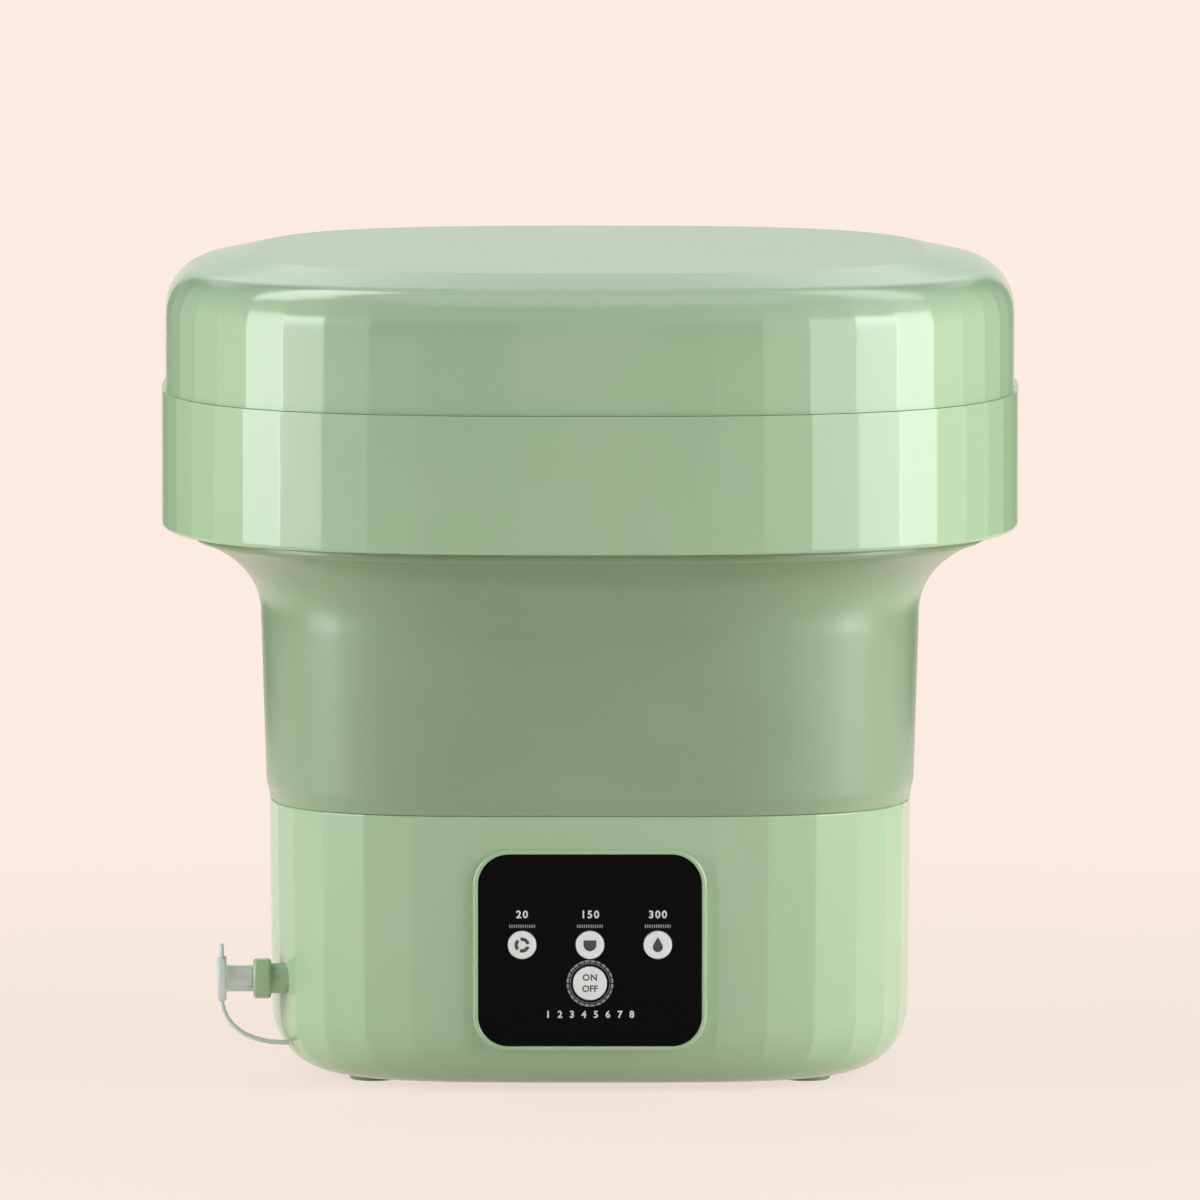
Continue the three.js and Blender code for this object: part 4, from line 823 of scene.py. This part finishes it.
collar_facets = 58
collar_plan = facets(collar_power, collar_facets)
collar_profile = eased([
    [155, 197, 1.5], [155, 246.6, 0.08], [149.5, 246.6, 0.3], [149.5, 243.6, 0.3], [151.8, 240.4, 0.3],
    [151.8, 201.5, 0.3], [143.5, 201.5, 0.3], [143.5, 199, 0.3], [151.8, 199, 0.3], [151.8, 197, 0.3],
])
collar = moulding("collar_moulding", collar_profile, collar_plan,
                  np.ones((len(collar_profile), len(collar_plan[2]))))
fitted(collar, abs_green, "collar", "housing", "collar_shell")
dressed(abs_green, "sleeve_clamp_ring")


# Lid: one ABS moulding that lifts off, with facets that line up with the collar's and run out on its
# round shoulder. A sloping surround leads up to the flat top, and a rubber gasket seals it.

lid_profile = eased([
    [153.6, 246.66, 0.08], [153.6, 288.2, 17], [121, 295.5, 5], [0, 295.5, 0], [0, 292.9, 0],
    [121, 292.9, 5], [151, 286.3, 14], [151, 253, 0.3], [146.9, 251, 0.3], [146.9, 238.9, 0.3],
    [148.9, 238.9, 0.3], [148.9, 250.9, 0.3], [151, 250.9, 0.3], [151, 246.66, 0.1],
], 12)
# The facets run out on the shoulder, higher at their middles than at their corners
shoulder_foot = 280.5 * mm
shoulder_full = 284.5 * mm
shoulder_sag = 3.2 * mm
lid_flatness = 1 - smoothstep(shoulder_foot, shoulder_full,
                              lid_profile[:, 1:] - shoulder_sag * collar_plan[2])
lid = moulding("lid_moulding", lid_profile, collar_plan, lid_flatness)
fitted(lid, abs_green, "lid", "housing", "lid_shell")
dressed(rubber_grey, "lid_gasket")


# Studio: a plain pale floor of backdrop paper that runs out to the same pale colour, tall narrow
# softboxes beside the machine, broad ones behind and above it, and dark cards for its gloss to mirror.

pale = linear("#fcebe1")
floor_mesh = bpy.data.meshes.new("floor")
floor_mesh.from_pydata([(-8, -9, 0), (8, -9, 0), (8, 20, 0), (-8, 20, 0)], [], [(0, 1, 2, 3)])
floor = bpy.data.objects.new("floor", floor_mesh)
bpy.context.scene.collection.objects.link(floor)


def looked_at(tree):
    """One for rays from the camera and for what gloss or glass shows of the room, and zero for light."""
    path = node(tree, "LightPath", {})
    seen = node(tree, "Math", {0: path.outputs["Is Camera Ray"], 1: path.outputs["Is Glossy Ray"]},
                operation="MAXIMUM")
    seen = node(tree, "Math", {0: seen.outputs["Value"], 1: path.outputs["Is Transmission Ray"]},
                operation="MAXIMUM")
    return seen.outputs["Value"]


# Backdrop paper: matt near the machine, where it holds the shadow, and evenly pale further out
paper, tree, shader, place = stuff("backdrop_paper", "#fcebe1", 0.9)
far = node(tree, "VectorMath", {0: place}, operation="LENGTH")
near = node(tree, "MapRange", {"Value": far.outputs["Value"], "From Min": 0.25, "From Max": 0.9,
                               "To Min": 0.2, "To Max": 0.0}, interpolation_type="SMOOTHSTEP")
glow = node(tree, "Emission", {"Color": pale, "Strength": 1.0})
matt = node(tree, "BsdfDiffuse", {"Color": linear("#f8ebe2")})
shown = node(tree, "MixShader", {0: near.outputs["Result"], 1: glow.outputs[0], 2: matt.outputs[0]})
lit = node(tree, "MixShader", {0: looked_at(tree), 1: matt.outputs[0], 2: shown.outputs[0]})
tree.links.new(lit.outputs[0], tree.nodes["Material Output"].inputs["Surface"])
floor_mesh.materials.append(paper)
floor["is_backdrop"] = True

world = bpy.data.worlds.new("studio_air")
bpy.context.scene.world = world
world.use_nodes = True
tree = world.node_tree
dim = node(tree, "Background", {"Color": linear("#f4f4f2"), "Strength": 0.04})
shown = node(tree, "Background", {"Color": pale, "Strength": 1.0})
both = node(tree, "MixShader", {0: looked_at(tree), 1: dim.outputs[0], 2: shown.outputs[0]})
tree.links.new(both.outputs[0], tree.nodes["World Output"].inputs["Surface"])


def card(name, left, right, foot, top, colour="#000000", strength=0.0):
    """An upright card from one floor point to another, which only the machine's gloss sees, so that it
    doesn't mirror an endless room."""
    mesh = bpy.data.meshes.new(name)
    corners = [(*left, foot), (*right, foot), (*right, top), (*left, top)]
    mesh.from_pydata(corners, [], [(0, 1, 2, 3)])
    board = bpy.data.objects.new(name, mesh)
    bpy.context.scene.collection.objects.link(board)
    # Felt on a board: without any gloss, and as dark or pale as its glow
    felt, tree, _, _ = stuff(name, "#101010", 0.9)
    face = node(tree, "Emission", {"Color": linear(colour), "Strength": strength})
    tree.links.new(face.outputs[0], tree.nodes["Material Output"].inputs["Surface"])
    mesh.materials.append(felt)
    board.visible_camera = False
    board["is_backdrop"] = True


card("card_left", (-0.36, 1.15), (-1.55, 0.35), 0, 1.5)
card("card_right", (0.36, 1.15), (1.55, 0.35), 0, 1.5)
card("card_back", (-0.4, 1.16), (0.4, 1.16), 0.35, 1.5, "#eef8ec", 0.8)
card("card_front_left", (-0.2, -3.2), (-2.4, -2.2), 0, 2.2)
card("card_front_right", (0.2, -3.2), (1.5, -2.8), 0, 2.2)

lamp_white = (0.96, 1.0, 1.03)
lamp_target = Vector((0, 0, 170 * mm))


def softbox(name, azimuth, elevation, distance, width, tall, power):
    """A rectangular softbox aimed at the machine, at an angle from the camera towards photo-right and
    at an elevation above the table."""
    lamp = bpy.data.lights.new(name, "AREA")
    lamp.shape = "RECTANGLE"
    lamp.size = width
    lamp.size_y = tall
    lamp.energy = power
    lamp.color = lamp_white
    turn = math.radians(azimuth)
    rise = math.radians(elevation)
    way = Vector((math.sin(turn) * math.cos(rise), -math.cos(turn) * math.cos(rise), math.sin(rise)))
    holder = aimed(lamp, lamp_target + distance * way, lamp_target)
    holder.visible_camera = False


# Narrow boxes beside the machine, whose bands on the facets show its form
for name, azimuth, power in (
        ("softbox_left_back", -84, 7.5), ("softbox_left", -70, 12.5), ("softbox_left_front", -53, 2.4),
        ("softbox_right_front", 42, 3.6), ("softbox_right_middle", 56, 4.2), ("softbox_right", 70, 12.5),
        ("softbox_right_back", 84, 7.5)):
    softbox(name, azimuth, elevation=12, distance=1.6, width=0.39, tall=1.3, power=power)

# Broad boxes behind and above it, for the shoulder, the surround and the top of the lid
softbox("softbox_high_left", -135, 48, 1.7, 0.9, 0.9, 10)
softbox("softbox_high_right", 135, 48, 1.7, 0.9, 0.9, 5)
softbox("softbox_back", 180, 29, 1.2, 1.2, 0.35, 0.7)
softbox("softbox_top", 180, 90, 1.7, 1.0, 1.0, 3)

bpy.context.scene.view_settings.view_transform = "Standard"

low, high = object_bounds()
